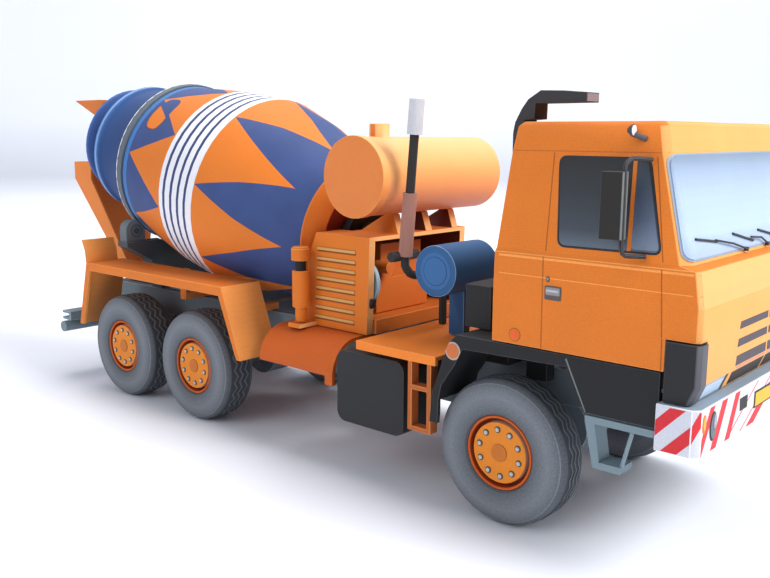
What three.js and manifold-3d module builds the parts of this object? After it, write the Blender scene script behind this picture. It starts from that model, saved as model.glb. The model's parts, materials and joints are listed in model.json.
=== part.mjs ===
// Card model of a three-axle concrete mixer truck, scale 1:32, in millimetres.
// +Z is up, +X is to the front, +Y is to its left.
// Pieces are placed from the front axle: x = 0 at the front axle, z = 0 on the ground. The whole
// model is then moved so that its origin lies on the ground under the middle of its length.
import * as THREE from "three";
import { mergeVertices } from "three/addons/utils/BufferGeometryUtils.js";
import Module from "manifold-3d";

const wasm = await Module();
wasm.setup();

// ---- driving dimensions ----
const GAP = 0.3; // air left between neighbouring pieces
const CARD = 1.2; // thickness of a folded card wall

const WHEEL_R = 18.2;
const RIM_R = 9.3;
const BORE_R = 2.6;
const SHAFT_R = 2.2;
const CAB_HALF_W = 39;
const TYRE_OUT_Y = CAB_HALF_W - 3.5; // outer side of every tyre
const FRONT_TYRE_W = 10.5;
const REAR_TYRE_W = 12;
const MID_AXLE_X = -120.4;
const REAR_AXLE_X = -161.6;

const FRAME_REAR_X = -203;
const FRAME_FRONT_X = 40.7;
const RAIL_Y = 13.5; // middle of a side rail
const RAIL_W = 3;
const RAIL_BOTTOM = 27;
const RAIL_TOP = 36;

const CAB_REAR_X = 0;
const CAB_FRONT_X = 48.6; // flat face of the nose
const CAB_BOTTOM = 46.8;
const NOSE_BEND_Z = 44.7; // the nose slants back below this
const NOSE_LEAN_Z = 60.3; // and leans back above this
const BELT_Z = 67.6;
const SCREEN_FOOT_X = 45.2; // windscreen, bottom and top
const SCREEN_TOP_X = 38.6;
const ROOF_EDGE_Z = 90;
const ROOF_Z = 96.4;
const CORNER_REAR_X = 41.5; // black nose corners: rear edge, inner end and top
const CORNER_IN_Y = 35.6;
const CORNER_TOP = 53.5;
const BUMPER_BOTTOM = 30.7;
const BUMPER_TOP = 40.5;
const BUMPER_REAR_X = 41;
const BUMPER_FRONT_X = 50;
const BUMPER_OVER = 1.5; // how far the bumper stands out past the cab's side

const DRUM_TILT = THREE.MathUtils.degToRad(12.1);
const DRUM_MID_X = -140; // where the drum's own length is counted from
const DRUM_MID_Z = 76.3;
const DRUM_R = 32.6; // at the rear edge of its belt, which widens a little to the front
const DRUM_BELT_FLARE = 0.9;
const BAND_REAR = 0.9; // start and end of the belt, along the axis
const BAND_FRONT = 19.9;
const DRUM_FRONT = 60;
const DRUM_FRONT_R = 22;
const DRUM_MOUTH = -65.2;
const MOUTH_R = 20.9;
const HOOP_AT = -27.9;
const HOOP_R = 29.8;
const HOOP_W = 3;
const DRUM_SIDES = 48;

const FENDER_TOP = 47;
const FENDER_OUT_Y = TYRE_OUT_Y + 2;
const FENDER_IN_Y = 22;
const FENDER_REAR_X = -179.5;
const FENDER_FRONT_X = -101.5;

const COVER_FRONT_X = -54.5;
const COVER_TOP = 64.6;
const COVER_BOTTOM = RAIL_TOP + GAP;
const ENGINE_BASE_TOP = RAIL_TOP + 4.5;
const COVER_RIGHT_Y = -21.2; // the housing and its tank sit a little to the left
const COVER_LEFT_Y = 24.2;
const COVER_SIDE_T = 2.5;
const SADDLE_W = 2.9;
const SADDLES_Y = [-6.6, 6.6, 19.7];

const TANK_X = -55.5;
const TANK_Z = 81.8;
const TANK_R = 11.4;
const TANK_RIGHT_Y = -27;
const TANK_L = 56.3;

const DECK_TOP = RAIL_TOP + 3.2;
const DECK_REAR_X = -45;
const DECK_FRONT_X = -18;
const DECK_HALF_W = 37;

const HOPPER_REAR_X = -222.5;
const HOPPER_TOP = 106.3;
const STRAP_X = -213; // straps that hold the upper hopper over the lower one

// ---- colours ----
const paint = (color, roughness = 0.75, metalness = 0) =>
  new THREE.MeshStandardMaterial({ color, roughness, metalness });
const ORANGE = paint(0xe07a26);
const BLUE = paint(0x38569b);
const AIR_BLUE = paint(0x3f74b0);
const BLACK = paint(0x2b2b2d);
const GREY = paint(0x6f7a80);
const STEP_GREY = paint(0x8b98a2);
const TYRE_GREY = paint(0x55595d, 0.9);
const WHITE = paint(0xe9e6ea);
const HOOP_GREY = paint(0x8a8f94);

// ---- shapes ----
const V = (x, y, z) => new THREE.Vector3(x, y, z);

// a solid from any closed geometry
function solid(geometry) {
  const bare = new THREE.BufferGeometry();
  bare.setAttribute("position", geometry.getAttribute("position"));
  if (geometry.index) bare.setIndex(geometry.index);
  const merged = mergeVertices(bare, 1e-4);
  return new wasm.Manifold(
    new wasm.Mesh({
      numProp: 3,
      vertProperties: merged.attributes.position.array,
      triVerts: new Uint32Array(merged.index.array),
    }),
  );
}
const join = (...parts) => parts.reduce((a, b) => a.add(b));
const cut = (body, ...tools) => tools.reduce((a, b) => a.subtract(b), body);

function box(x0, x1, y0, y1, z0, z1) {
  const g = new THREE.BoxGeometry(x1 - x0, y1 - y0, z1 - z0);
  return solid(g.translate((x0 + x1) / 2, (y0 + y1) / 2, (z0 + z1) / 2));
}

const outline = (points) => new THREE.Shape(points.map(([a, b]) => new THREE.Vector2(a, b)));

function extrude(shape, depth) {
  return new THREE.ExtrudeGeometry(shape, { depth, bevelEnabled: false, curveSegments: 8 });
}

// outline drawn in x and z, thick from y0 to y1
function sidePlate(points, y0, y1) {
  const shape = Array.isArray(points) ? outline(points) : points;
  return solid(extrude(shape, y1 - y0).rotateX(Math.PI / 2).translate(0, y1, 0));
}

// outline drawn in y and z, thick from x0 to x1
function crossPlate(points, x0, x1) {
  const shape = Array.isArray(points) ? outline(points) : points;
  const turn = new THREE.Matrix4().makeBasis(V(0, 1, 0), V(0, 0, 1), V(1, 0, 0));
  return solid(extrude(shape, x1 - x0).applyMatrix4(turn).translate(x0, 0, 0));
}

// straight round bar between two points
function rod(a, b, r, sides = 16) {
  const way = b.clone().sub(a);
  const g = new THREE.CylinderGeometry(r, r, way.length(), sides);
  const turn = new THREE.Quaternion().setFromUnitVectors(V(0, 1, 0), way.normalize());
  const middle = a.clone().add(b).multiplyScalar(0.5);
  return solid(g.applyQuaternion(turn).translate(middle.x, middle.y, middle.z));
}

// round bar along a bent line
function bentRod(points, r, steps = 24, sides = 8) {
  const section = new THREE.Shape();
  for (let i = 0; i < sides; i++) {
    const a = (2 * Math.PI * i) / sides;
    if (i) section.lineTo(r * Math.cos(a), r * Math.sin(a));
    else section.moveTo(r, 0);
  }
  const path = new THREE.CatmullRomCurve3(points, false, "catmullrom", 0.15);
  return solid(
    new THREE.ExtrudeGeometry(section, { extrudePath: path, steps, bevelEnabled: false }),
  );
}

// turned shape: profile of [radius, along], its axis laid from `from` towards `way`
function turned(profile, from, way, sides = 32) {
  const points = profile.map(([r, along]) => new THREE.Vector2(r, along));
  const g = new THREE.LatheGeometry(points, sides);
  const turn = new THREE.Quaternion().setFromUnitVectors(V(0, 1, 0), way.clone().normalize());
  return solid(g.applyQuaternion(turn).translate(from.x, from.y, from.z));
}

// closed skin through rings of equally many points
function loft(rings) {
  const n = rings[0].length;
  const position = [];
  const face = (a, b, c) => position.push(...a, ...b, ...c);
  for (let k = 0; k + 1 < rings.length; k++)
    for (let i = 0; i < n; i++) {
      const j = (i + 1) % n;
      face(rings[k][i], rings[k][j], rings[k + 1][j]);
      face(rings[k][i], rings[k + 1][j], rings[k + 1][i]);
    }
  const last = rings[rings.length - 1];
  for (let i = 1; i + 1 < n; i++) {
    face(rings[0][0], rings[0][i + 1], rings[0][i]);
    face(last[0], last[i], last[i + 1]);
  }
  const g = new THREE.BufferGeometry();
  g.setAttribute("position", new THREE.Float32BufferAttribute(position, 3));
  return solid(g);
}

const mirrored = (body) => body.mirror([0, 1, 0]);

// ---- scene graph ----
const truck = new THREE.Group();
truck.position.x = -(HOPPER_REAR_X + BUMPER_FRONT_X) / 2;

function add(name, body, material) {
  const { numProp, vertProperties, triVerts } = body.getMesh();
  const position = new Float32Array((vertProperties.length / numProp) * 3);
  for (let i = 0; i * numProp < vertProperties.length; i++)
    position.set(vertProperties.subarray(i * numProp, i * numProp + 3), i * 3);
  const geometry = new THREE.BufferGeometry();
  geometry.setAttribute("position", new THREE.BufferAttribute(position, 3));
  geometry.setIndex(new THREE.BufferAttribute(triVerts, 1));
  geometry.computeVertexNormals();
  const mesh = new THREE.Mesh(geometry, material);
  mesh.name = name;
  truck.add(mesh);
}

// a piece on the right side (-Y) and its mirror image on the left
function addPair(name, rightBody, material) {
  add(`${name}_right`, rightBody, material);
  add(`${name}_left`, mirrored(rightBody), material);
}

// ---- wheels ----
function tyre(width) {
  const flat = 1.2;
  return [
    [RIM_R, 0.6],
    [RIM_R + 0.8, 0],
    [WHEEL_R - 3.2, 0],
    [WHEEL_R - flat, 1],
    [WHEEL_R, 2.2],
    [WHEEL_R, width - 2.2],
    [WHEEL_R - flat, width - 1],
    [WHEEL_R - 3.2, width],
    [RIM_R + 0.8, width],
    [RIM_R, width - 0.6],
    [RIM_R, 0.6],
  ];
}

// rim: ring, sunk annulus, raised nut disc and hub, with a bore from behind for the shaft
function rim(width) {
  const ring = RIM_R - GAP;
  const boreDepth = width - 3.5;
  return [
    [0, 1],
    [SHAFT_R, 1],
    [SHAFT_R, 1.5],
    [7.5, 1.5],
    [7.7, 3],
    [8.3, 3],
    [8.5, 0.8],
    [ring, 0.8],
    [ring, width - 0.8],
    [8.3, width - 0.8],
    [7.9, 5],
    [5, 5],
    [5, width],
    [BORE_R, width],
    [BORE_R, width - boreDepth],
    [0, width - boreDepth],
  ];
}

const AXLES = [
  { place: "front", x: 0, width: FRONT_TYRE_W },
  { place: "mid", x: MID_AXLE_X, width: REAR_TYRE_W },
  { place: "rear", x: REAR_AXLE_X, width: REAR_TYRE_W },
];

function wheels() {
  for (const { place, x, width } of AXLES)
    for (const [side, sign] of [["right", -1], ["left", 1]]) {
      const from = V(x, sign * TYRE_OUT_Y, WHEEL_R);
      const inward = V(0, -sign, 0);
      add(`tyre_${place}_${side}`, turned(tyre(width), from, inward, 28), TYRE_GREY);
      add(`rim_${place}_${side}`, turned(rim(width), from, inward, 24), ORANGE);
    }
}

// ---- chassis ----
const FINAL_DRIVE_R = 8;
const BACKBONE_R = 3.4;

function frame() {
  const rail = (y) =>
    box(FRAME_REAR_X, FRAME_FRONT_X, y - RAIL_W / 2, y + RAIL_W / 2, RAIL_BOTTOM, RAIL_TOP);
  const member = (x) => box(x - 2, x + 2, -RAIL_Y, RAIL_Y, RAIL_BOTTOM + 1, RAIL_TOP - 1);
  const members = [FRAME_REAR_X + 2, REAR_AXLE_X, MID_AXLE_X, -75, -30, 0, FRAME_FRONT_X - 2];
  add("chassis_frame", join(rail(-RAIL_Y), rail(RAIL_Y), ...members.map(member)), GREY);
}

function axles() {
  for (const { place, x, width } of AXLES) {
    const tip = TYRE_OUT_Y - 3.5 - GAP; // end of the stub in the rim's bore
    const stop = TYRE_OUT_Y - width - GAP; // where the thicker half-axle stops
    const shaft = rod(V(x, -tip, WHEEL_R), V(x, tip, WHEEL_R), SHAFT_R, 20);
    const tube = rod(V(x, -stop, WHEEL_R), V(x, stop, WHEEL_R), BACKBONE_R, 20);
    const drive = rod(V(x, -6, WHEEL_R), V(x, 6, WHEEL_R), FINAL_DRIVE_R, 24);
    const post = (y) => box(x - 3, x + 3, y - 1.5, y + 1.5, WHEEL_R, RAIL_BOTTOM);
    add(`${place}_axle`, join(shaft, tube, drive, post(-RAIL_Y), post(RAIL_Y)), GREY);
  }
  const between = (rear, front) =>
    rod(
      V(rear + FINAL_DRIVE_R + GAP, 0, WHEEL_R),
      V(front - FINAL_DRIVE_R - GAP, 0, WHEEL_R),
      BACKBONE_R,
      20,
    );
  add("backbone_tube", between(MID_AXLE_X, 0), GREY);
  add("bogie_tube", between(REAR_AXLE_X, MID_AXLE_X), GREY);
}

const UNDERRUN_X = -207;
const UNDERRUN_HALF_W = 33;

function underrunBar() {
  const bar = rod(
    V(UNDERRUN_X, -UNDERRUN_HALF_W, 18.4),
    V(UNDERRUN_X, UNDERRUN_HALF_W, 18.4),
    2.1,
    20,
  );
  const channel = cut(
    box(UNDERRUN_X, UNDERRUN_X + 6, -UNDERRUN_HALF_W, UNDERRUN_HALF_W, 21.5, 25),
    box(UNDERRUN_X - 1, UNDERRUN_X + 4.8, -50, 50, 22.5, 24),
  );
  const hanger = (y) =>
    box(UNDERRUN_X - 0.6, UNDERRUN_X + 3, y - RAIL_W / 2, y + RAIL_W / 2, 17, RAIL_TOP - 4);
  const foot = (y) =>
    box(UNDERRUN_X - 0.6, FRAME_REAR_X - GAP, y - RAIL_W / 2, y + RAIL_W / 2, 24.5, RAIL_TOP - 4);
  const hangers = [-RAIL_Y, RAIL_Y].flatMap((y) => [hanger(y), foot(y)]);
  add("underrun_bar", join(bar, channel, ...hangers), STEP_GREY);
}

// ---- rear fenders, skirts and deck ----
function rearFenders() {
  const t = CARD;
  const y0 = -FENDER_OUT_Y;
  const y1 = -FENDER_IN_Y;
  const band = 2.9;
  const rearFoot = [FENDER_REAR_X - 6.5, 23.4];
  const frontFoot = [FENDER_FRONT_X + 8.5, 25];
  // outer outline over the wheels and its copy inside
  const arch = sidePlate(
    [
      rearFoot,
      [FENDER_REAR_X, FENDER_TOP],
      [FENDER_FRONT_X, FENDER_TOP],
      frontFoot,
      [frontFoot[0] - t, frontFoot[1]],
      [FENDER_FRONT_X - t * 0.8, FENDER_TOP - t],
      [FENDER_REAR_X + t, FENDER_TOP - t],
      [rearFoot[0] + t, rearFoot[1]],
    ],
    y0,
    y1,
  );
  // rim band standing down along the outer edge
  const rimBand = sidePlate(
    [
      rearFoot,
      [FENDER_REAR_X, FENDER_TOP],
      [FENDER_FRONT_X, FENDER_TOP],
      frontFoot,
      [frontFoot[0] - 2, frontFoot[1]],
      [FENDER_FRONT_X - 1.5, FENDER_TOP - band],
      [FENDER_REAR_X + 2, FENDER_TOP - band],
      [rearFoot[0] + 2.4, rearFoot[1]],
    ],
    y0,
    y0 + t,
  );
  // curved flap standing on the rear edge
  const flap = sidePlate(
    [
      [FENDER_REAR_X, FENDER_TOP - t],
      [FENDER_REAR_X + t, FENDER_TOP - t],
      [FENDER_REAR_X + 0.6, 51],
      [FENDER_REAR_X - 1.4, 55.2],
      [FENDER_REAR_X - 2.4, 55],
      [FENDER_REAR_X - 0.5, 51],
    ],
    y0,
    y0 + 12.5,
  );
  // arms from the frame to the fender's underside
  const armZ = FENDER_TOP - t;
  const arm = (x) =>
    join(
      box(x - 1.5, x + 1.5, y1, -RAIL_Y + RAIL_W / 2, RAIL_TOP + GAP, RAIL_TOP + 2.5),
      box(x - 1.5, x + 1.5, y1 - t, y1, RAIL_TOP + GAP, armZ),
      box(x - 1.5, x + 1.5, y1 - t, y1 + t, armZ - 1, FENDER_TOP),
    );
  addPair("rear_fender", join(arch, rimBand, flap, arm(-141), arm(-105)), ORANGE);
}

const SKIRT_REAR_X = -88;
const SKIRT_FRONT_X = -57;
const SKIRT_TOP = RAIL_TOP;
const SKIRT_R = 10;

function sideSkirts() {
  const shape = new THREE.Shape();
  shape.absarc(0, 0, SKIRT_R, Math.PI / 2, Math.PI, false);
  shape.lineTo(-SKIRT_R + CARD, 0);
  shape.absarc(0, 0, SKIRT_R - CARD, Math.PI, Math.PI / 2, true);
  const foot = SKIRT_TOP - SKIRT_R;
  const curve = crossPlate(shape, SKIRT_REAR_X, SKIRT_FRONT_X).translate([0, -24, foot]);
  const top = box(
    SKIRT_REAR_X,
    SKIRT_FRONT_X,
    -24,
    -RAIL_Y - RAIL_W / 2 - GAP,
    SKIRT_TOP - CARD,
    SKIRT_TOP,
  );
  const tab = box(SKIRT_FRONT_X - 3, SKIRT_FRONT_X, -34, -34 + CARD, foot - 2.5, foot + 1);
  addPair("side_skirt", join(curve, top, tab), ORANGE);
}

function deck() {
  const lip = 2.4;
  const plate = box(DECK_REAR_X, DECK_FRONT_X, -DECK_HALF_W, DECK_HALF_W, DECK_TOP - CARD, DECK_TOP);
  const lipBox = (y0, y1) => box(DECK_REAR_X, DECK_FRONT_X, y0, y1, DECK_TOP - lip, DECK_TOP);
  const right = lipBox(-DECK_HALF_W, -DECK_HALF_W + CARD);
  const left = lipBox(DECK_HALF_W - CARD, DECK_HALF_W);
  const bearer = (y) =>
    box(DECK_REAR_X, DECK_FRONT_X, y - 1.5, y + 1.5, RAIL_TOP + GAP, DECK_TOP - CARD);
  // two-loop step ladder under the plate's edge
  const ladderRear = -27;
  const ladderFront = -19.5;
  const yOut = -DECK_HALF_W + 0.2;
  const rail = (x) => box(x, x + 1.3, yOut, yOut + 3, 18.6, DECK_TOP - 1);
  const rung = (z) => box(ladderRear, ladderFront, yOut, yOut + 3, z, z + 1.2);
  const ladder = join(rail(ladderRear), rail(ladderFront - 1.3), rung(18.6), rung(29.5));
  add(
    "deck_plate",
    join(plate, right, left, bearer(-RAIL_Y), bearer(RAIL_Y), ladder, mirrored(ladder)),
    ORANGE,
  );
}

function fuelTanks() {
  const [x0, x1, z0, z1] = [-54.5, -30.3, 14.6, DECK_TOP - CARD - 3];
  const r = 3;
  const shape = new THREE.Shape();
  shape.moveTo(x0 + r, z0);
  shape.lineTo(x1 - r, z0);
  shape.absarc(x1 - r, z0 + r, r, -Math.PI / 2, 0, false);
  shape.lineTo(x1, z1 - r);
  shape.absarc(x1 - r, z1 - r, r, 0, Math.PI / 2, false);
  shape.lineTo(x0 + r, z1);
  shape.absarc(x0 + r, z1 - r, r, Math.PI / 2, Math.PI, false);
  shape.lineTo(x0, z0 + r);
  shape.absarc(x0 + r, z0 + r, r, Math.PI, 1.5 * Math.PI, false);
  const railFace = -RAIL_Y - RAIL_W / 2 - GAP;
  const tank = sidePlate(shape, -34.5, -18.5);
  const bracket = (x) => box(x - 1, x + 1, -19, railFace, RAIL_TOP - 9, RAIL_TOP - 2);
  add("fuel_tank", join(tank, bracket(-50), bracket(-35)), BLACK);
  const batteries = box(x0 + 2, x1 - 2, -34.5, -18.5, z0 + 4, z1);
  add("battery_box", mirrored(join(batteries, bracket(-50), bracket(-35))), BLACK);
}

// ---- engine housing behind the cab ----
function engineHousing() {
  const inRight = COVER_RIGHT_Y + COVER_SIDE_T;
  const inLeft = COVER_LEFT_Y - COVER_SIDE_T;
  const base = box(-79, COVER_FRONT_X, inRight + GAP, inLeft - GAP, RAIL_TOP + GAP, ENGINE_BASE_TOP);
  add("engine_base", base, ORANGE);

  const panel = [
    [COVER_FRONT_X, COVER_TOP],
    [-76, COVER_TOP],
    [-79.7, 56.5],
    [-81, COVER_BOTTOM],
    [COVER_FRONT_X - 1, COVER_BOTTOM],
  ];
  const sides = [sidePlate(panel, COVER_RIGHT_Y, inRight), sidePlate(panel, inLeft, COVER_LEFT_Y)];
  const roof = box(-76, COVER_FRONT_X, COVER_RIGHT_Y, COVER_LEFT_Y, COVER_TOP - CARD, COVER_TOP);
  const notch = box(-80, -71.5, -10.5, 10.5, COVER_TOP - 5, COVER_TOP + 5);
  const ledge = box(-81, -76, -28.5, COVER_RIGHT_Y + 1, COVER_BOTTOM, COVER_BOTTOM + CARD);
  // wedges under the water tank, steep at the front and cut to its round
  const foot = COVER_TOP - 0.5;
  const top = TANK_Z - TANK_R + 0.6;
  const wedge = [[COVER_FRONT_X - 0.5, foot], [TANK_X - 1.8, top], [TANK_X - 3.2, top], [-71, foot]];
  const saddle = (y) => sidePlate(wedge, y - SADDLE_W / 2, y + SADDLE_W / 2);
  const tankRound = rod(V(TANK_X, -40, TANK_Z), V(TANK_X, 40, TANK_Z), TANK_R + GAP, 48);
  const saddles = cut(join(...SADDLES_Y.map(saddle)), tankRound);
  const shell = cut(join(...sides, roof), notch);
  add("engine_cover", join(shell, ledge, saddles), ORANGE);

  const low = box(-74, -60, -12, 12, ENGINE_BASE_TOP + GAP, 51);
  const high = box(-69.5, -62, -8, 11, 50, 61);
  const stub = rod(V(-62, -9.7, 54.6), V(-56.5, -9.7, 54.6), 1.9, 16);
  add("engine_block", join(low, high, stub, box(-63, -60, -9.7, -5, 50, 54)), ORANGE);

  const fanZ = 50.5;
  const hub = rod(V(-63, -17.3, fanZ - 2), V(-63, -12 - GAP, fanZ - 2), 1.2, 12);
  const disc = rod(V(-63, -17.8, fanZ), V(-63, -16.8, fanZ), 5, 28);
  add("cooling_fan", join(disc, hub), STEP_GREY);
}

function filterCanister() {
  const foot = V(-78.5, -25.4, COVER_BOTTOM + CARD + GAP);
  const profile = [
    [0, 0], [1.8, 0], [1.8, 4.5], [2.6, 4.5], [2.6, 15.5], [1.6, 15.5],
    [1.6, 18.6], [2.8, 18.6], [2.8, 22.1], [2.2, 22.7], [0, 22.7],
  ];
  add("filter_canister", turned(profile, foot, V(0, 0, 1), 20), ORANGE);
}

// leaning stack in front of the water tank: elbow, muffler, pipe and wide tip
function exhaust() {
  const y = -20;
  const low = V(-42.2, y, 60.5); // middle of the stack's foot
  const top = V(-38.6, y, 102.8);
  const at = (share) => low.clone().lerp(top, share);
  const muffler = rod(at(0), at(0.41), 1.95, 20);
  const pipe = rod(at(0.3), at(0.95), 1.25, 16);
  const tip = rod(at(0.78), at(1), 2.1, 20);
  const elbow = bentRod(
    [
      V(-42.2, y, 61.5), V(-42.2, y, 57.6), V(-41.4, y + 1.6, 55.2), V(-40.5, y + 6, 54.6),
      V(-40.5, y + 13, 54.4), V(-40.5, y + 15, 52), V(-40.5, y + 15, DECK_TOP + GAP),
    ],
    1.2,
    36,
  );
  const manifold = rod(V(-43.6, -24.5, 60.4), V(-43.6, -13.5, 60.4), 1.4, 12);
  add("exhaust_stack", join(muffler, pipe, tip, elbow, manifold), BLACK);
}

function waterTank() {
  const band = 2.8;
  const profile = [
    [0, 0], [TANK_R, 0], [TANK_R, band], [TANK_R - 0.35, band + 0.4],
    [TANK_R - 0.35, TANK_L - 0.8], [TANK_R - 1.1, TANK_L], [0, TANK_L],
  ];
  const barrel = turned(profile, V(TANK_X, TANK_RIGHT_Y, TANK_Z), V(0, 1, 0), 40);
  const neck = rod(V(TANK_X, -16, TANK_Z + 5), V(TANK_X, -16, TANK_Z + 14.6), 2.9, 20);
  add("water_tank", join(barrel, neck), ORANGE);
}

// ---- between engine and cab ----
function airTank() {
  const x = -28.2;
  const z = 58.2;
  const r = 6.8;
  const tank = turned(
    [[0, 0], [r, 0], [r, 19], [r - 0.6, 20], [0, 20]],
    V(x, -24.5, z),
    V(0, 1, 0),
    28,
  );
  const stand = box(x - 2.5, x + 2.5, -15, -12, DECK_TOP + GAP, z - r + 1);
  add("air_tank", join(tank, stand), AIR_BLUE);
}

function intakeBox() {
  const body = box(-13.5, -6, -31, -19, 46.8, 57.5);
  const shelf = box(-13.5, -6, -22.6, -RAIL_Y + RAIL_W / 2, RAIL_TOP + GAP, 47.5);
  const drum = rod(V(-8.2, -18, 60), V(-8.2, 10, 60), 6, 24);
  const neck = box(-10, -6, -20, -14, 55, 58);
  add("intake_box", join(body, shelf, drum, neck), BLACK);
}

function snorkel() {
  const y0 = 8 - CAB_HALF_W;
  const y1 = y0 + 5.5;
  const rise = CAB_REAR_X - 1.1; // its rear side beside the upper cab
  const shape = outline([
    [CAB_REAR_X - 3.4, 62],
    [CAB_REAR_X - 0.6, 62],
    [CAB_REAR_X + 1.4, ROOF_EDGE_Z],
    [CAB_REAR_X + 1.8, ROOF_Z + 0.4],
    [CAB_REAR_X + 4.5, ROOF_Z + 0.6],
    [CAB_REAR_X + 4.6, 100.5],
    [CAB_REAR_X + 17.4, 100.5],
    [CAB_REAR_X + 17.4, 102.6],
    [CAB_REAR_X + 11.6, 103.1],
    [CAB_REAR_X + 5.9, 103.3],
    [CAB_REAR_X + 2.7, 101.4],
    [CAB_REAR_X + 1.1, 99.4],
    [rise + 0.5, 96.4],
    [rise, 94],
    [rise, 88],
  ]);
  const clip = box(-3, CAB_REAR_X - GAP, y0 + 1.5, y1 - 1.5, 62, 65);
  add("snorkel", join(sidePlate(shape, y0, y1), clip), BLACK);
}

// ---- cab ----
// level section of the cab, with chamfered front corners, drawn inside by `inset`
function cabRing(z, rear, front, half, corner, inset = 0) {
  const c = corner - inset * 0.4;
  const [r, f, h] = [rear + inset, front - inset, half - inset];
  return [
    [r, -h, z], [f - c, -h, z], [f, -h + c, z],
    [f, h - c, z], [f - c, h, z], [r, h, z],
  ];
}

// the cab's outside from the bottom up: [z, rear x, front x, half width, chamfer at the front corners]
const CAB_LEVELS = [
  [BUMPER_TOP + GAP, CAB_REAR_X, CAB_FRONT_X - 1.6, CAB_HALF_W, 0.8],
  [NOSE_BEND_Z, CAB_REAR_X, CAB_FRONT_X, CAB_HALF_W, 0.8],
  [NOSE_LEAN_Z, CAB_REAR_X, CAB_FRONT_X, CAB_HALF_W, 0.8],
  [BELT_Z, CAB_REAR_X + 0.2, CAB_FRONT_X - 1.1, CAB_HALF_W, 0.8],
  [BELT_Z + 0.8, CAB_REAR_X + 0.3, SCREEN_FOOT_X, CAB_HALF_W - 0.6, 2],
  [ROOF_EDGE_Z, CAB_REAR_X + 2, SCREEN_TOP_X, CAB_HALF_W - 3.4, 1.4],
  [ROOF_Z - 1, CAB_REAR_X + 2.6, SCREEN_TOP_X - 1.4, CAB_HALF_W - 4.6, 1.3],
  [ROOF_Z, CAB_REAR_X + 3.6, SCREEN_TOP_X - 2.6, CAB_HALF_W - 5.6, 1.2],
];

function cab() {
  const wall = CARD + GAP;
  const outer = loft(CAB_LEVELS.map((level) => cabRing(...level)));
  const inside = CAB_LEVELS.slice(0, -1);
  const inner = loft(inside.map(([z, ...level]) => cabRing(z - wall, ...level, wall)));
  const underSides = box(-5, CORNER_REAR_X, -50, 50, 30, CAB_BOTTOM);
  const corner = box(CORNER_REAR_X, 60, -50, -CORNER_IN_Y + GAP, 30, CORNER_TOP);
  add("cab_shell", cut(outer, inner, underSides, corner, mirrored(corner)), ORANGE);

  const barEnd = CAB_HALF_W - 2.4;
  const bar = (x) => box(x, x + 4, -barEnd, barEnd, CAB_BOTTOM + 1, CAB_BOTTOM + 4);
  const sill = (y) => box(4, 38, y - 1.5, y + 1.5, RAIL_TOP + GAP, CAB_BOTTOM + 4);
  add("cab_mount", join(bar(4), bar(34), sill(-RAIL_Y), sill(RAIL_Y)), BLACK);

  // black lower nose corners, tied together by a strip behind the nose
  const skin = 0.4; // how far they stand out from the cab's face
  const rings = (out, top) => {
    const ring = (z, front) =>
      cabRing(z, CORNER_REAR_X + GAP, front + out, CAB_HALF_W + out, 0.8);
    return loft([
      ring(BUMPER_TOP + GAP, CAB_FRONT_X - 1.6),
      ring(NOSE_BEND_Z, CAB_FRONT_X),
      ring(top, CAB_FRONT_X),
    ]);
  };
  const block = rings(skin, CORNER_TOP - GAP);
  // the same shape inside the walls, moved to open it below and behind
  const core = rings(-wall, CORNER_TOP + 5);
  const room = join(core, core.translate([-5, 0, -0.5]), core.translate([0, 0, -1]));
  const face = box(30, 60, -CORNER_IN_Y, CORNER_IN_Y, 30, 60);
  const strip = box(
    CORNER_REAR_X + 1,
    CORNER_REAR_X + 3,
    -CAB_HALF_W + 1,
    CAB_HALF_W - 1,
    BUMPER_TOP + GAP,
    NOSE_BEND_Z,
  );
  add("front_valance", join(cut(block, room, face), strip), BLACK);
}

function frontFenders() {
  const skinOut = 0.4 - CAB_HALF_W;
  const skinIn = skinOut + CARD;
  const top = CAB_BOTTOM - GAP - 0.1;
  const foot = 34.4;
  // from the rear leg up and over to the front leg's outer side
  const over = [[-17.8, 29], [-17.6, 30.7], [-13.5, 42.1], [-12.3, 44.5], [-10.3, top], [19.5, top]];
  // and back along the opening over the tyre
  const under = [
    [27.9, foot], [24.4, foot], [21.7, 40.2], [19.1, 43.7],
    [-8.7, 43], [-10.7, 39.1], [-14.8, 33], [-15.7, 29],
  ];
  const skin = sidePlate(
    [[-18.4, 23], ...over, [FRAME_FRONT_X, top], [FRAME_FRONT_X, foot], ...under, [-15.9, 23]],
    skinOut,
    skinIn,
  );
  const arch = sidePlate([...over, ...under], skinIn, -23);
  const railSide = -RAIL_Y - RAIL_W / 2 - GAP;
  const stay = box(-3, 3, -24, railSide, 43.7, top - 0.2);
  const post = box(-3, 3, -19, railSide, RAIL_TOP - 3, top - 0.2);
  addPair("front_fender", join(skin, arch, stay, post), BLACK);
}

// step pad under the fender, a leaning leg plate, a lower tread and a thin front wire
function cabSteps() {
  const y0 = -CAB_HALF_W;
  const y1 = y0 + 8;
  const padTop = 34.1;
  const pad = box(24.6, 40.3, y0, y1, padTop - 1.5, padTop);
  const leg = sidePlate([[24.6, 33], [26.8, 33], [28.6, 22.9], [26.9, 22.9]], y0, y0 + 5);
  const tread = box(26.9, 33.4, y0, y0 + 5.5, 22.8, 24.3);
  const wire = rod(V(35.4, y0 + 1, 33.2), V(33, y0 + 1, 23.4), 0.45, 8);
  const low = Math.min(padTop - 1.5, RAIL_TOP - 3);
  const hanger = box(36, 40.3, y1 - 1, y1 + 0.2, low, 40);
  const beam = box(37, 39.5, y1 - 1, -RAIL_Y - RAIL_W / 2 - GAP, RAIL_TOP - 3, RAIL_TOP - 0.6);
  addPair("cab_step", join(pad, leg, tread, wire, hanger, beam), STEP_GREY);
}

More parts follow.
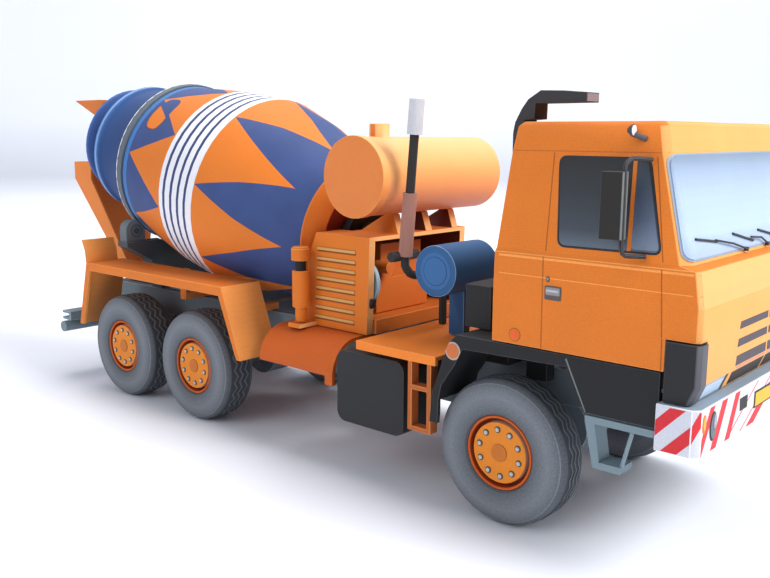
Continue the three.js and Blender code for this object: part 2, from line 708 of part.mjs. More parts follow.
function bumper() {
  const half = CAB_HALF_W + BUMPER_OVER;
  const chamfer = 1.5;
  const section = [
    [BUMPER_REAR_X, -half], [BUMPER_FRONT_X - chamfer, -half], [BUMPER_FRONT_X, -half + chamfer],
    [BUMPER_FRONT_X, half - chamfer], [BUMPER_FRONT_X - chamfer, half], [BUMPER_REAR_X, half],
  ];
  const rings = [BUMPER_BOTTOM, BUMPER_TOP].map((z) => section.map(([x, y]) => [x, y, z]));
  add("front_bumper", loft(rings), WHITE);
}

// wire loop standing off the door, with a tall narrow housing behind it
function mirrors() {
  const y = -CAB_HALF_W - 4;
  const x = 33;
  const wire = bentRod(
    [
      V(35.6, 2.4 - CAB_HALF_W, 88.8), V(x + 0.4, y + 2, 89), V(x, y, 87.6), V(x, y, 80),
      V(x, y, 71), V(x + 0.4, y + 1, 69.8), V(36.5, -CAB_HALF_W - 0.2, 69.6),
    ],
    0.5,
    36,
    8,
  );
  const housing = box(x - 4.4, x + 0.2, y - 1.3, y + 1.3, 73, 86.5);
  addPair("mirror", join(wire, housing), BLACK);
}

// ---- drum and its carriers ----
const drumWay = V(Math.cos(DRUM_TILT), 0, -Math.sin(DRUM_TILT));
const onDrumAxis = (s) => V(DRUM_MID_X, 0, DRUM_MID_Z).addScaledVector(drumWay, s);

const HOOP_SEAT_R = HOOP_R - 1.9; // the drum's own radius under the hoop

function drum() {
  const profile = [
    [0, DRUM_MOUTH + 12],
    [13, DRUM_MOUTH + 12],
    [14, DRUM_MOUTH - 1.5],
    [MOUTH_R - 1.4, DRUM_MOUTH - 1.5],
    [MOUTH_R, DRUM_MOUTH],
    [MOUTH_R, DRUM_MOUTH + 3],
    [MOUTH_R - 1.6, DRUM_MOUTH + 4],
    [22.3, -54.5],
    [24.3, -53.6],
    [24.5, -50.6],
    [23.4, -49.6],
    [HOOP_SEAT_R, HOOP_AT - 1.2],
    [HOOP_SEAT_R + 0.7, HOOP_AT + 1.6],
    [HOOP_R - 0.4, HOOP_AT + 2],
    [HOOP_R - 0.4, HOOP_AT + 4],
    [DRUM_R, BAND_REAR],
    [DRUM_R + DRUM_BELT_FLARE, BAND_FRONT],
    [30, 36],
    [DRUM_FRONT_R, DRUM_FRONT],
    [16, 63.6],
    [15, 62.8],
    [0, 62.8],
  ];
  add("mixer_drum", turned(profile, onDrumAxis(0), drumWay, DRUM_SIDES), BLUE);
}

function drumHoop() {
  const inner = HOOP_SEAT_R;
  const from = HOOP_AT - HOOP_W / 2;
  const to = HOOP_AT + HOOP_W / 2 - 0.2;
  const ring = turned(
    [[inner, from], [HOOP_R, from], [HOOP_R, to], [inner, to], [inner, from]],
    onDrumAxis(0),
    drumWay,
    DRUM_SIDES,
  );
  // the drum's shell with air around it
  const shell = turned(
    [
      [0, HOOP_AT - 12], [HOOP_SEAT_R - 2.4 + GAP, HOOP_AT - 12], [HOOP_SEAT_R + GAP, HOOP_AT - 1.2],
      [HOOP_SEAT_R + 0.7 + GAP, HOOP_AT + 1.6], [HOOP_SEAT_R + 0.7 + GAP, HOOP_AT + 8], [0, HOOP_AT + 8],
    ],
    onDrumAxis(0),
    drumWay,
    DRUM_SIDES,
  );
  add("drum_hoop", cut(ring, shell), HOOP_GREY);
}

function drumGearbox() {
  const flange = rod(onDrumAxis(64.2), onDrumAxis(66.6), 9.2, 28);
  const nose = rod(onDrumAxis(66), onDrumAxis(68.6), 4, 20);
  const stand = box(-76.8, -74.2, -5, 5, ENGINE_BASE_TOP + GAP, 62);
  add("drum_gearbox", join(flange, nose, stand), BLACK);
}

const BRACKET_R = 3.9;

function drumPedestal() {
  const x1 = -165.5;
  const x0 = -171.5;
  const frameTop = RAIL_TOP + GAP;
  const half = [[15, frameTop], [19, 47.4], [29, 53], [29, 54.6]]; // narrow on the frame, wide above
  const other = half.map(([y, z]) => [-y, z]).reverse();
  const plate = crossPlate([...half, ...other], x0, x1);
  // round-topped brackets under the hoop
  const y = -24.3;
  const ear = new THREE.Shape();
  ear.moveTo(y - BRACKET_R, 54);
  ear.lineTo(y + BRACKET_R, 54);
  ear.lineTo(y + BRACKET_R, 58.6);
  ear.absarc(y, 58.6, BRACKET_R, 0, Math.PI, false);
  const bracket = crossPlate(ear, x0 + 0.3, x0 + 4.5);
  const space = rod(onDrumAxis(-60), onDrumAxis(-5), HOOP_R + 2 * GAP, 64);
  add("drum_pedestal", cut(join(plate, bracket, mirrored(bracket)), space), GREY);
}

// ---- hoppers at the drum's mouth ----
// four-sided funnel from a wide top to a narrow foot; each level is [z, rear x, front x, half width]
function funnel(levels, wall, openFront) {
  const ring = ([z, r, f, h], inset, dz = 0) => [
    [r + inset, -h + inset, z + dz],
    [f - (openFront ? -5 : inset), -h + inset, z + dz],
    [f - (openFront ? -5 : inset), h - inset, z + dz],
    [r + inset, h - inset, z + dz],
  ];
  const full = ([z, r, f, h]) => [[r, -h, z], [f, -h, z], [f, h, z], [r, h, z]];
  const outer = loft(levels.map(full));
  const inner = loft(
    levels.map((level, i) => ring(level, wall, i === 0 ? -0.5 : i === levels.length - 1 ? 0.5 : 0)),
  );
  return cut(outer, inner);
}

function hoppers() {
  const collector = funnel(
    [
      [40.3, -210.6, -203.8, 4.6],
      [75.2, HOPPER_REAR_X, -210.5, 15.8],
      [82, HOPPER_REAR_X, -210, 15.8],
    ],
    1,
    true,
  );
  const foot = box(-210.6, -205, -4.6, 4.6, RAIL_TOP - 1 + GAP, 40.8);
  const bracket = box(-210.6, -199.5, -4.6, 4.6, RAIL_TOP - 1 + GAP, 38);
  const crossBar = box(STRAP_X - 1, STRAP_X + 0.2, -15.2, 15.2, 79, 81.7);
  add("discharge_hopper", join(collector, foot, bracket, crossBar), ORANGE);

  const charger = funnel(
    [
      [92, -212.5, -206.5, 5],
      [98, -213.5, -205.8, 7],
      [HOPPER_TOP, HOPPER_REAR_X, -203.5, 14],
    ],
    1,
    false,
  );
  const strap = (y) => box(STRAP_X - 1, STRAP_X + 0.2, y - 1, y + 1, 81.7 + GAP, 97);
  add("charging_hopper", join(charger, strap(-5.6), strap(5.6)), ORANGE);
}

wheels();
frame();
axles();
underrunBar();
rearFenders();
sideSkirts();
deck();
fuelTanks();
engineHousing();
filterCanister();
exhaust();
waterTank();
airTank();
intakeBox();
snorkel();
cab();
frontFenders();
cabSteps();
bumper();
mirrors();
drum();
drumHoop();
drumGearbox();
drumPedestal();
hoppers();

export default truck;
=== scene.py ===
import json
import math

import bmesh
import bpy
from mathutils import Matrix, Vector
from mathutils.bvhtree import BVHTree

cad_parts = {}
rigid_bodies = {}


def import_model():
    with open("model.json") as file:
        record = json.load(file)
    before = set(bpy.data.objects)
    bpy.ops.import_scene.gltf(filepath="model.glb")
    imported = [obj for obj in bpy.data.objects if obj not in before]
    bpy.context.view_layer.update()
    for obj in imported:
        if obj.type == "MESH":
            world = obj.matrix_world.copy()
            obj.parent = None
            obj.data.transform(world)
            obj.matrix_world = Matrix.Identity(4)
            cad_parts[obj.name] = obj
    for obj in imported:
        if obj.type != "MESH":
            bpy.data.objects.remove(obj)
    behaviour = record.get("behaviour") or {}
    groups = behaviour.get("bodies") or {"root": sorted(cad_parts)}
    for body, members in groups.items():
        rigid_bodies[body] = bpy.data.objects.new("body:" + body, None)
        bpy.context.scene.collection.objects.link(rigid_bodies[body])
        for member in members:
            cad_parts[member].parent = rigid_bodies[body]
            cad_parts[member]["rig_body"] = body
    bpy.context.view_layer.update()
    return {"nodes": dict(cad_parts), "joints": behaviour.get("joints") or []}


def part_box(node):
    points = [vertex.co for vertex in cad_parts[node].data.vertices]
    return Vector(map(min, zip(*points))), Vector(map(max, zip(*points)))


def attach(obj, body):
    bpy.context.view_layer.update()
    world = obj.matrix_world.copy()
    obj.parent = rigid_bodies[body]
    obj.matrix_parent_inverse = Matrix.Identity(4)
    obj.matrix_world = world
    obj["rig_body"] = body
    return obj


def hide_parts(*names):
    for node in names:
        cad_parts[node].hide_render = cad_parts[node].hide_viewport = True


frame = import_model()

MM = 0.001
NODES = frame["nodes"]

# Places are written in millimetres from the front axle, as x forward, y left and z up from the ground.
_low, _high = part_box("tyre_front_right")
AXLE_X = (_low.x + _high.x) / 2


def P(x, y, z):
    return Vector((AXLE_X + x * MM, y * MM, z * MM))


def axle_mm(p):
    return Vector(((p[0] - AXLE_X) / MM, p[1] / MM, p[2] / MM))


BODY_OF = {n: o["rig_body"] for n, o in NODES.items()}
SLOT_OF = {n: o.data.materials[0].name for n, o in NODES.items()}

# the drum's own axis, from its joint in the record; DRUM_UP is across it in the truck's middle plane, upward
_spin = next(j for j in frame["joints"] if j["child"] == "drum")
DRUM_WAY = Vector(_spin["axis"]).normalized()
DRUM_MID = Vector(_spin["pos_m"])
DRUM_UP = DRUM_WAY.cross(Vector((0, 1, 0))).normalized()


# ---------------------------------------------------------------- materials
def rgb(code):
    """A colour written as hex, as a linear RGBA tuple."""
    parts = [int(code[i : i + 2], 16) / 255 for i in (1, 3, 5)]
    line = [c / 12.92 if c <= 0.04045 else ((c + 0.055) / 1.055) ** 2.4 for c in parts]
    return (*line, 1.0)


class Tree:
    """Short calls for building a node tree."""

    def __init__(self, name):
        self.mat = bpy.data.materials.new(name)
        self.mat.use_nodes = True
        self.nodes = self.mat.node_tree.nodes
        self.links = self.mat.node_tree.links
        self.bsdf = self.nodes["Principled BSDF"]

    def new(self, kind, **props):
        node = self.nodes.new(kind)
        for key, value in props.items():
            setattr(node, key, value)
        return node

    def put(self, socket, value):
        if isinstance(value, bpy.types.NodeSocket):
            self.links.new(value, socket)
        elif isinstance(value, str):
            socket.default_value = rgb(value)
        else:
            socket.default_value = value

    def coords(self):
        return self.new("ShaderNodeTexCoord").outputs["Object"]

    def math(self, op, *values, clamp=False):
        node = self.new("ShaderNodeMath", operation=op, use_clamp=clamp)
        for i, value in enumerate(values):
            self.put(node.inputs[i], value)
        return node.outputs[0]

    def dot(self, vector, way):
        node = self.new("ShaderNodeVectorMath", operation="DOT_PRODUCT")
        self.put(node.inputs[0], vector)
        node.inputs[1].default_value = way
        return node.outputs["Value"]

    def minus(self, vector, point):
        node = self.new("ShaderNodeVectorMath", operation="SUBTRACT")
        self.put(node.inputs[0], vector)
        node.inputs[1].default_value = point
        return node.outputs["Vector"]

    def mix(self, share, a, b, blend="MIX"):
        node = self.new("ShaderNodeMix", data_type="RGBA", blend_type=blend)
        self.put(node.inputs["Factor"], share)
        self.put(node.inputs["A"], a)
        self.put(node.inputs["B"], b)
        return node.outputs["Result"]

    def noise(self, vector, scale, detail=3.0, rough=0.55):
        node = self.new("ShaderNodeTexNoise")
        self.put(node.inputs["Vector"], vector)
        node.inputs["Scale"].default_value = scale
        node.inputs["Detail"].default_value = detail
        node.inputs["Roughness"].default_value = rough
        return node.outputs["Fac"]

    def ramp(self, value, stops, mode="LINEAR"):
        node = self.new("ShaderNodeValToRGB")
        node.color_ramp.interpolation = mode
        el = node.color_ramp.elements
        while len(el) > 1:
            el.remove(el[0])
        el[0].position = stops[0][0]
        el[0].color = rgb(stops[0][1])
        for at, colour in stops[1:]:
            el.new(at).color = rgb(colour)
        self.put(node.inputs["Fac"], value)
        return node.outputs["Color"]

    def range(self, value, a, b, to_a=0.0, to_b=1.0):
        node = self.new("ShaderNodeMapRange")
        self.put(node.inputs["Value"], value)
        for key, number in (("From Min", a), ("From Max", b), ("To Min", to_a), ("To Max", to_b)):
            node.inputs[key].default_value = number
        return node.outputs["Result"]

    def soft_step(self, value, at, width):
        """0 below `at`, 1 above it, over a narrow printed edge."""
        return self.range(value, at - width, at + width)


# the card's own surface: noise and wave scales in turns a metre, and how far each one swings the colour
FIBRE_SCALE, BROAD_SCALE, WEAVE_SCALE = 2600, 55, 460
FIBRE_SWING, BROAD_SWING, WEAVE_SWING = 0.34, 0.16, 0.02
WEAVE_DISTORTION = 1.5
BUMP_STRENGTH, BUMP_HEIGHT = 0.22, 0.00006
CARD_ROUGH = 0.62


def finish_card(t, colour, rough=CARD_ROUGH, grain=1.0):
    """Printed card: fibre grain, a fine printed weave, broad unevenness, a dull sheen and a grain bump."""
    at = t.coords()
    fibre = t.noise(at, FIBRE_SCALE, 4, 0.65)
    broad = t.noise(at, BROAD_SCALE, 2, 0.5)
    threads = []
    for direction in ("X", "Z"):
        wave = t.new("ShaderNodeTexWave", wave_type="BANDS", bands_direction=direction)
        t.put(wave.inputs["Vector"], at)
        wave.inputs["Scale"].default_value = WEAVE_SCALE
        wave.inputs["Distortion"].default_value = WEAVE_DISTORTION
        threads.append(wave.outputs["Fac"])
    woven = t.math("ADD", *threads)
    shade = t.math(
        "ADD",
        t.math("MULTIPLY", t.math("SUBTRACT", fibre, 0.5), FIBRE_SWING * grain),
        t.math("MULTIPLY", t.math("SUBTRACT", broad, 0.5), BROAD_SWING),
    )
    shade = t.math("ADD", shade, t.math("MULTIPLY", t.math("SUBTRACT", woven, 1.0), WEAVE_SWING))
    grey = t.new("ShaderNodeCombineColor")
    level = t.math("ADD", shade, 1.0)
    for key in ("Red", "Green", "Blue"):
        t.put(grey.inputs[key], level)
    t.put(t.bsdf.inputs["Base Color"], t.mix(1.0, colour, grey.outputs["Color"], "MULTIPLY"))
    t.put(t.bsdf.inputs["Roughness"], t.range(fibre, 0.3, 0.7, rough - 0.06, rough + 0.08))
    t.bsdf.inputs["Specular IOR Level"].default_value = 0.25
    t.bsdf.inputs["Sheen Weight"].default_value = 0.02
    bump = t.new("ShaderNodeBump")
    bump.inputs["Strength"].default_value = BUMP_STRENGTH
    bump.inputs["Distance"].default_value = BUMP_HEIGHT
    t.put(bump.inputs["Height"], fibre)
    t.links.new(bump.outputs["Normal"], t.bsdf.inputs["Normal"])
    return t.mat


_cards = {}


def card(colour, rough=CARD_ROUGH, grain=1.0):
    """The printed card of one colour, made once."""
    key = (colour, rough, grain)
    if key not in _cards:
        name = f"card_{colour[1:]}_{round(rough * 100)}_{round(grain * 100)}"
        _cards[key] = finish_card(Tree(name), colour, rough, grain)
    return _cards[key]


def graded_card(name, low, high, stops, rough, grain):
    """Card whose colour changes with height, from `low` to `high` in metres."""
    t = Tree(name)
    sep = t.new("ShaderNodeSeparateXYZ")
    t.put(sep.inputs["Vector"], t.coords())
    return finish_card(t, t.ramp(t.range(sep.outputs["Z"], low, high), stops), rough, grain)


ORANGE = "#d97625"
ORANGE_EDGE = "#e69a55"
RIM_ORANGE = "#e08427"
DEEP_ORANGE = "#c8591a"
RED_DARK = "#8e3212"
BLUE = "#3b5a9c"
NAVY = "#33426f"
AIR_BLUE = "#3b6faf"
BLACK = "#222224"
GREY = "#68747b"
PALE_GREY = "#75878f"
TYRE_GREY = "#5b5f63"
WHITE = "#e6e5ea"
RED = "#cf3138"
HOOP_GREY = "#5d666e"

SLOT_LOOK = {
    "card_orange": (ORANGE, ORANGE_EDGE),
    "card_blue": (BLUE, "#7f97c4"),
    "card_light_blue": (AIR_BLUE, "#86a6cf"),
    "card_black": (BLACK, "#4a4b4f"),
    "card_grey": (GREY, "#a3acb2"),
    "card_light_grey": (PALE_GREY, "#a9b6bf"),
    "card_white": (WHITE, "#f2f2f4"),
    "hoop_grey": (HOOP_GREY, "#9aa1a8"),
    "tyre_grey": (TYRE_GREY, "#8d9195"),
}


# ---------------------------------------------------------------- mesh helpers
def link(name, mesh):
    obj = bpy.data.objects.new(name, mesh)
    bpy.context.scene.collection.objects.link(obj)
    return obj


def from_bmesh(name, bm, mats, angle=30):
    mesh = bpy.data.meshes.new(name)
    bm.to_mesh(mesh)
    bm.free()
    for mat in mats:
        mesh.materials.append(mat)
    mesh.polygons.foreach_set("use_smooth", [True] * len(mesh.polygons))
    mesh.set_sharp_from_angle(angle=math.radians(angle))
    return link(name, mesh)


def place(obj, body):
    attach(obj, body)
    return obj


def refined(node, bevel=0.12, mats=None, paint=None, angle=30, edge=True):
    """A copy of a CAD node with its vertices joined and its card edges cut back, standing for that node."""
    body_hex, edge_hex = SLOT_LOOK[SLOT_OF[node]]
    mats = mats or [card(body_hex)]
    if edge:
        mats = [*mats, card(edge_hex)]
    bm = bmesh.new()
    bm.from_mesh(NODES[node].data)
    bmesh.ops.remove_doubles(bm, verts=bm.verts, dist=1e-6)
    bmesh.ops.dissolve_limit(bm, angle_limit=math.radians(0.6), verts=bm.verts, edges=bm.edges)
    for f in bm.faces:
        f.material_index = 0
    if bevel:
        sharp = [
            e
            for e in bm.edges
            if e.is_manifold and e.is_convex and e.calc_face_angle(0) > math.radians(35)
        ]
        bmesh.ops.bevel(
            bm,
            geom=sharp,
            offset=bevel * MM,
            segments=1,
            profile=0.5,
            affect="EDGES",
            clamp_overlap=True,
            material=len(mats) - 1 if edge else -1,
        )
    if paint:
        last = len(mats) - 1 if edge else -1
        for f in bm.faces:
            if f.material_index != last:
                f.material_index = paint(axle_mm(f.calc_center_median()), f.normal)
    obj = from_bmesh(f"{node}_card", bm, mats, angle)
    place(obj, BODY_OF[node])
    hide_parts(node)
    return obj


def frame_of(way):
    """Two unit vectors across `way`."""
    way = way.normalized()
    side = Vector((0, 0, 1)) if abs(way.z) < 0.9 else Vector((1, 0, 0))
    u = way.cross(side).normalized()
    return u, way.cross(u).normalized()


def circle(bm, centre, u, v, r, steps):
    """New vertices on a circle of radius r millimetres, across u and v."""
    turns = [2 * math.pi * i / steps for i in range(steps)]
    return [bm.verts.new(centre + (u * math.cos(a) + v * math.sin(a)) * r * MM) for a in turns]


def lathe(name, profile, at, way, mats, steps=96, angle=32):
    """Turned piece: profile rows are (radius mm, along mm, material index of the band after it)."""
    bm = bmesh.new()
    way = way.normalized()
    u, v = frame_of(way)
    rings = []
    for r, along, _ in profile:
        centre = at + way * along * MM
        rings.append(circle(bm, centre, u, v, r, steps) if r > 0 else [bm.verts.new(centre)])
    for k in range(len(rings) - 1):
        a, b = rings[k], rings[k + 1]
        for i in range(steps):
            j = (i + 1) % steps
            if len(a) == 1 and len(b) == 1:
                continue
            if len(a) == 1:
                face = bm.faces.new((a[0], b[j], b[i]))
            elif len(b) == 1:
                face = bm.faces.new((a[i], a[j], b[0]))
            else:
                face = bm.faces.new((a[i], a[j], b[j], b[i]))
            face.material_index = profile[k][2]
    bmesh.ops.recalc_face_normals(bm, faces=bm.faces)
    return from_bmesh(name, bm, mats, angle)


def rounded(points, radius, steps=5):
    """The outline with its corners rounded."""
    out = []
    n = len(points)
    for i, p in enumerate(points):
        a = Vector(points[i - 1])
        b = Vector(p)
        c = Vector(points[(i + 1) % n])
        back, on = (a - b), (c - b)
        cut_len = min(radius, back.length * 0.45, on.length * 0.45)
        s = b + back.normalized() * cut_len
        e = b + on.normalized() * cut_len
        for k in range(steps + 1):
            t = k / steps
            q = s * (1 - t) ** 2 + b * 2 * t * (1 - t) + e * t * t
            out.append((q.x, q.y))
    return out


def ellipse(a, b, ra, rb=None, steps=32):
    rb = rb or ra
    turn = 2 * math.pi / steps
    return [(a + ra * math.cos(turn * i), b + rb * math.sin(turn * i)) for i in range(steps)]


def strip(points, width):
    """Outline of a line of even width along the points."""
    left, right = [], []
    for i, p in enumerate(points):
        a = Vector(points[max(i - 1, 0)])
        b = Vector(points[min(i + 1, len(points) - 1)])
        way = (b - a).normalized()
        side = Vector((-way.y, way.x)) * width / 2
        left.append((p[0] + side.x, p[1] + side.y))
        right.append((p[0] - side.x, p[1] - side.y))
    return left + right[::-1]


_trees = {}


def surface(node):
    if node not in _trees:
        bm = bmesh.new()
        bm.from_mesh(NODES[node].data)
        _trees[node] = BVHTree.FromBMesh(bm)
        bm.free()
    return _trees[node]


# how an outline's two numbers lie for a look along each axis, in axle millimetres
LOOKS = {
    "-y": (lambda a, b: P(a, -400, b), Vector((0, 1, 0))),
    "+y": (lambda a, b: P(a, 400, b), Vector((0, -1, 0))),
    "+x": (lambda a, b: P(400, a, b), Vector((-1, 0, 0))),
    "-x": (lambda a, b: P(-600, a, b), Vector((1, 0, 0))),
    "+z": (lambda a, b: P(a, b, 400), Vector((0, 0, -1))),
}


def cut_to_grid(flat, grid):
    """Cut a flat outline along lines `grid` millimetres apart, so that it can follow a bent surface."""
    for no in (Vector((1, 0, 0)), Vector((0, 1, 0))):
        values = [v.co.dot(no) for v in flat.verts]
        at = min(values) + grid
        while at < max(values):
            bmesh.ops.bisect_plane(
                flat,
                geom=flat.verts[:] + flat.edges[:] + flat.faces[:],
                plane_co=no * at,
                plane_no=no,
            )
            at += grid


def patch(name, node, outlines, look, mats, lift=0.05, depth=0.12, grid=0):
    """Thin printed pieces laid on a CAD node: each outline is dropped on the surface along the look.

    An outline's row is its points, its material index, and how many millimetres it lies above `lift`.
    """
    start, way = LOOKS[look]
    tree = surface(node)
    bm = bmesh.new()
    for item in outlines:
        outline, index = item[0], item[1]
        extra = item[2] if len(item) > 2 else 0.0
        flat = bmesh.new()
        verts = [flat.verts.new((a, b, 0)) for a, b in outline]
        flat.faces.new(verts)
        if grid:
            cut_to_grid(flat, grid)
        keys = {v: i for i, v in enumerate(flat.verts)}
        order, under = [], []
        for v in flat.verts:
            origin = start(v.co.x, v.co.y)
            hit, normal, _, _ = tree.ray_cast(origin, way)
            if hit is None:
                hit, normal, _, _ = tree.find_nearest(origin)
            if normal.dot(way) > 0:
                normal = -normal
            order.append(bm.verts.new(hit + normal * (lift + extra) * MM))
            under.append(bm.verts.new(hit + normal * (lift + extra - depth) * MM))
        for f in flat.faces:
            ids = [keys[v] for v in f.verts]
            face = bm.faces.new([order[i] for i in ids])
            face.material_index = index
            back = bm.faces.new([under[i] for i in reversed(ids)])
            back.material_index = index
        for e in flat.edges:
            if e.is_boundary:
                i, j = keys[e.verts[0]], keys[e.verts[1]]
                side = bm.faces.new([order[i], order[j], under[j], under[i]])
                side.material_index = index
        flat.free()
    bmesh.ops.recalc_face_normals(bm, faces=bm.faces)
    obj = from_bmesh(name, bm, mats, 40)
    return place(obj, BODY_OF[node])


def rods(name, lines, mats, body, sides=10):
    """Round bars: each line is (points in axle mm, radius mm, material index)."""
    bm = bmesh.new()
    for points, radius, index in lines:
        pts = [P(*p) for p in points]
        rings = []
        for i, p in enumerate(pts):
            a = pts[max(i - 1, 0)]
            b = pts[min(i + 1, len(pts) - 1)]
            way = (b - a).normalized()
            if i == 0:
                u, _ = frame_of(way)
            u = (u - way * u.dot(way)).normalized()
            v = way.cross(u)
            rings.append(circle(bm, p, u, v, radius, sides))
        for a, b in zip(rings, rings[1:]):
            for k in range(sides):
                j = (k + 1) % sides
                bm.faces.new((a[k], a[j], b[j], b[k])).material_index = index
        bm.faces.new(rings[0][::-1]).material_index = index
        bm.faces.new(rings[-1]).material_index = index
    bmesh.ops.recalc_face_normals(bm, faces=bm.faces)
    return place(from_bmesh(name, bm, mats, 35), body)


def mirror_y(points):
    return [(-a, b) for a, b in points]


SIDES = (("right", -1, "-y"), ("left", 1, "+y"))


# ---------------------------------------------------------------- wheels
TEETH = 28
TYRE_R, RIM_SEAT_R = 18.2, 9.2
GROOVE_DEPTH = 0.22
TYRE_ROUGH, TYRE_GRAIN = 0.8, 1.2
NUTS, NUT_CIRCLE_R, NUT_SIDES = 10, 5.75, 12
TREAD_RIBS, TREAD_INSET = 3, 2.9


def wheel_frame(place_name, side, sign):
    """The middle of a wheel's outer face, the way in from it, and the wheel's width in millimetres."""
    low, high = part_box(f"tyre_{place_name}_{side}")
    inward = Vector((0, -sign, 0))
    width = (high.y - low.y) / MM
    return (low + high) / 2 - inward * width / 2 * MM, inward, width


def wheel_looks(place_name, side):
    low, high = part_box(f"tyre_{place_name}_{side}")
    centre = (low + high) / 2
    t = Tree(f"tyre_side_{place_name}_{side}")
    at = t.minus(t.coords(), centre)
    sep = t.new("ShaderNodeSeparateXYZ")
    t.put(sep.inputs["Vector"], at)
    x, z = sep.outputs["X"], sep.outputs["Z"]
    r = t.math("SQRT", t.math("ADD", t.math("MULTIPLY", x, x), t.math("MULTIPLY", z, z)))
    turn = t.math("ARCTAN2", z, x)
    polar = t.new("ShaderNodeCombineXYZ")
    t.put(polar.inputs["X"], turn)
    t.put(polar.inputs["Y"], t.math("MULTIPLY", r, 60.0))
    streak = t.noise(polar.outputs["Vector"], 26, 4, 0.6)
    share = t.range(r, RIM_SEAT_R * MM, TYRE_R * MM)
    # painted shade across the sidewall: darker near the rim, lighter mid-way, with a pale line near the
    # shoulder
    shade = t.ramp(
        share,
        [
            (0.0, "#44474b"), (0.1, "#565a60"), (0.3, "#6a6f76"), (0.52, "#7b8087"),
            (0.7, "#70757c"), (0.8, "#666b72"), (0.85, "#666b72"), (0.862, "#979da5"),
            (0.874, "#5d6269"), (1.0, "#4d5158"),
        ],
    )
    tone = t.ramp(streak, [(0.3, "#585c61"), (0.7, "#868b92")])
    return finish_card(t, t.mix(0.28, shade, tone), TYRE_ROUGH, TYRE_GRAIN)


def make_tyre(place_name, side, sign):
    node = f"tyre_{place_name}_{side}"
    outer, inward, width = wheel_frame(place_name, side, sign)
    steps = TEETH * 4
    # rows of radius, depth from the outer face, swing and material: sidewall, shoulder, tread and back again;
    # the tread's rows swing from side to side and make the zigzag ribs
    half = [
        (9.3, 0.9), (9.75, 0.35), (11.2, 0.12), (13.4, 0.0), (15.4, 0.08), (16.6, 0.3),
        (16.85, 0.42), (17.35, 0.95), (17.8, 1.6), (18.0, 2.2),
    ]
    pitch = (width - 2 * TREAD_INSET) / TREAD_RIBS
    rows = [(r, t, 0.0, 0) for r, t in half]
    for k in range(TREAD_RIBS):
        middle = TREAD_INSET + pitch * (k + 0.5)
        w = pitch * 0.14
        rows += [
            (TYRE_R - GROOVE_DEPTH, middle - w - 0.12, 1.0, 1),
            (TYRE_R, middle - w, 1.0, 2),
            (TYRE_R, middle + w, 1.0, 1),
            (TYRE_R - GROOVE_DEPTH, middle + w + 0.12, 1.0, 1),
        ]
    rows += [(r, width - t, 0.0, 0) for r, t in reversed(half)]
    rows[len(half) - 1] = (*half[-1], 0.0, 1)
    swing = pitch * 0.3
    zig = (0, 1, 0, -1)
    bm = bmesh.new()
    u, v = frame_of(inward)
    rings = []
    for r, t, move, _ in rows:
        ring = []
        for i in range(steps):
            a = 2 * math.pi * i / steps
            along = inward * (t + move * swing * zig[i % 4]) * MM
            ring.append(bm.verts.new(outer + along + (u * math.cos(a) + v * math.sin(a)) * r * MM))
        rings.append(ring)
    rings.append(rings[0])
    for k in range(len(rings) - 1):
        for i in range(steps):
            j = (i + 1) % steps
            face = bm.faces.new((rings[k][i], rings[k][j], rings[k + 1][j], rings[k + 1][i]))
            face.material_index = rows[k][3]
    bmesh.ops.recalc_face_normals(bm, faces=bm.faces)
    mats = [
        wheel_looks(place_name, side),
        card("#45494e", TYRE_ROUGH, TYRE_GRAIN),
        card("#6a7077", TYRE_ROUGH, TYRE_GRAIN),
    ]
    obj = from_bmesh(f"{node}_card", bm, mats, 28)
    place(obj, BODY_OF[node])
    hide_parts(node)


def make_rim(place_name, side, sign):
    node = f"rim_{place_name}_{side}"
    outer, inward, width = wheel_frame(place_name, side, sign)
    mats = [
        card(RIM_ORANGE), card(DEEP_ORANGE), card(RED_DARK), card("#c9a48c"), card("#c4702a"),
        card("#5a3416"),
    ]
    profile = [
        (0, 0.66, 4), (1.95, 0.66, 4), (2.2, 0.72, 5), (2.22, 0.86, 0), (7.35, 0.86, 0),
        (7.5, 1.0, 3), (7.62, 3.0, 2), (8.35, 3.0, 2), (8.5, 0.95, 1), (8.62, 0.72, 1),
        (9.05, 0.72, 1), (9.22, 1.0, 2), (9.22, width - 0.8, 1), (8.3, width - 0.8, 1), (7.9, 5, 1),
        (5, 5, 1), (5, width, 1), (2.6, width, 1), (2.6, 3.5, 1), (0, 3.5, 1),
    ]
    obj = lathe(f"{node}_card", profile, outer, inward, mats, 96)
    place(obj, BODY_OF[node])
    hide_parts(node)
    # nuts on dark washers
    bm = bmesh.new()
    u, v = frame_of(inward)
    for k in range(NUTS):
        a = 2 * math.pi * (k + 0.35) / NUTS
        at = outer + (u * math.cos(a) + v * math.sin(a)) * NUT_CIRCLE_R * MM
        rows = [(0.82, 0.9, 0), (0.82, 0.72, 0), (0.56, 0.72, 1), (0.52, 0.5, 2), (0.3, 0.38, 2)]
        rings = []
        for r, along, _ in rows:
            c = at + inward * along * MM
            rings.append(circle(bm, c, u, v, r, NUT_SIDES))
        for n, (p, q) in enumerate(zip(rings, rings[1:])):
            for i in range(NUT_SIDES):
                j = (i + 1) % NUT_SIDES
                bm.faces.new((p[i], p[j], q[j], q[i])).material_index = rows[n][2]
        bm.faces.new(rings[-1]).material_index = 2
        bm.faces.new(rings[0][::-1]).material_index = 0
    bmesh.ops.recalc_face_normals(bm, faces=bm.faces)
    nuts = from_bmesh(
        f"nuts_{place_name}_{side}", bm, [card("#4a463f"), card("#8f9496"), card("#b9bdbf")], 30
    )
    place(nuts, BODY_OF[node])


for where in ("front", "mid", "rear"):
    for side, sign, _ in SIDES:
        make_tyre(where, side, sign)
        make_rim(where, side, sign)


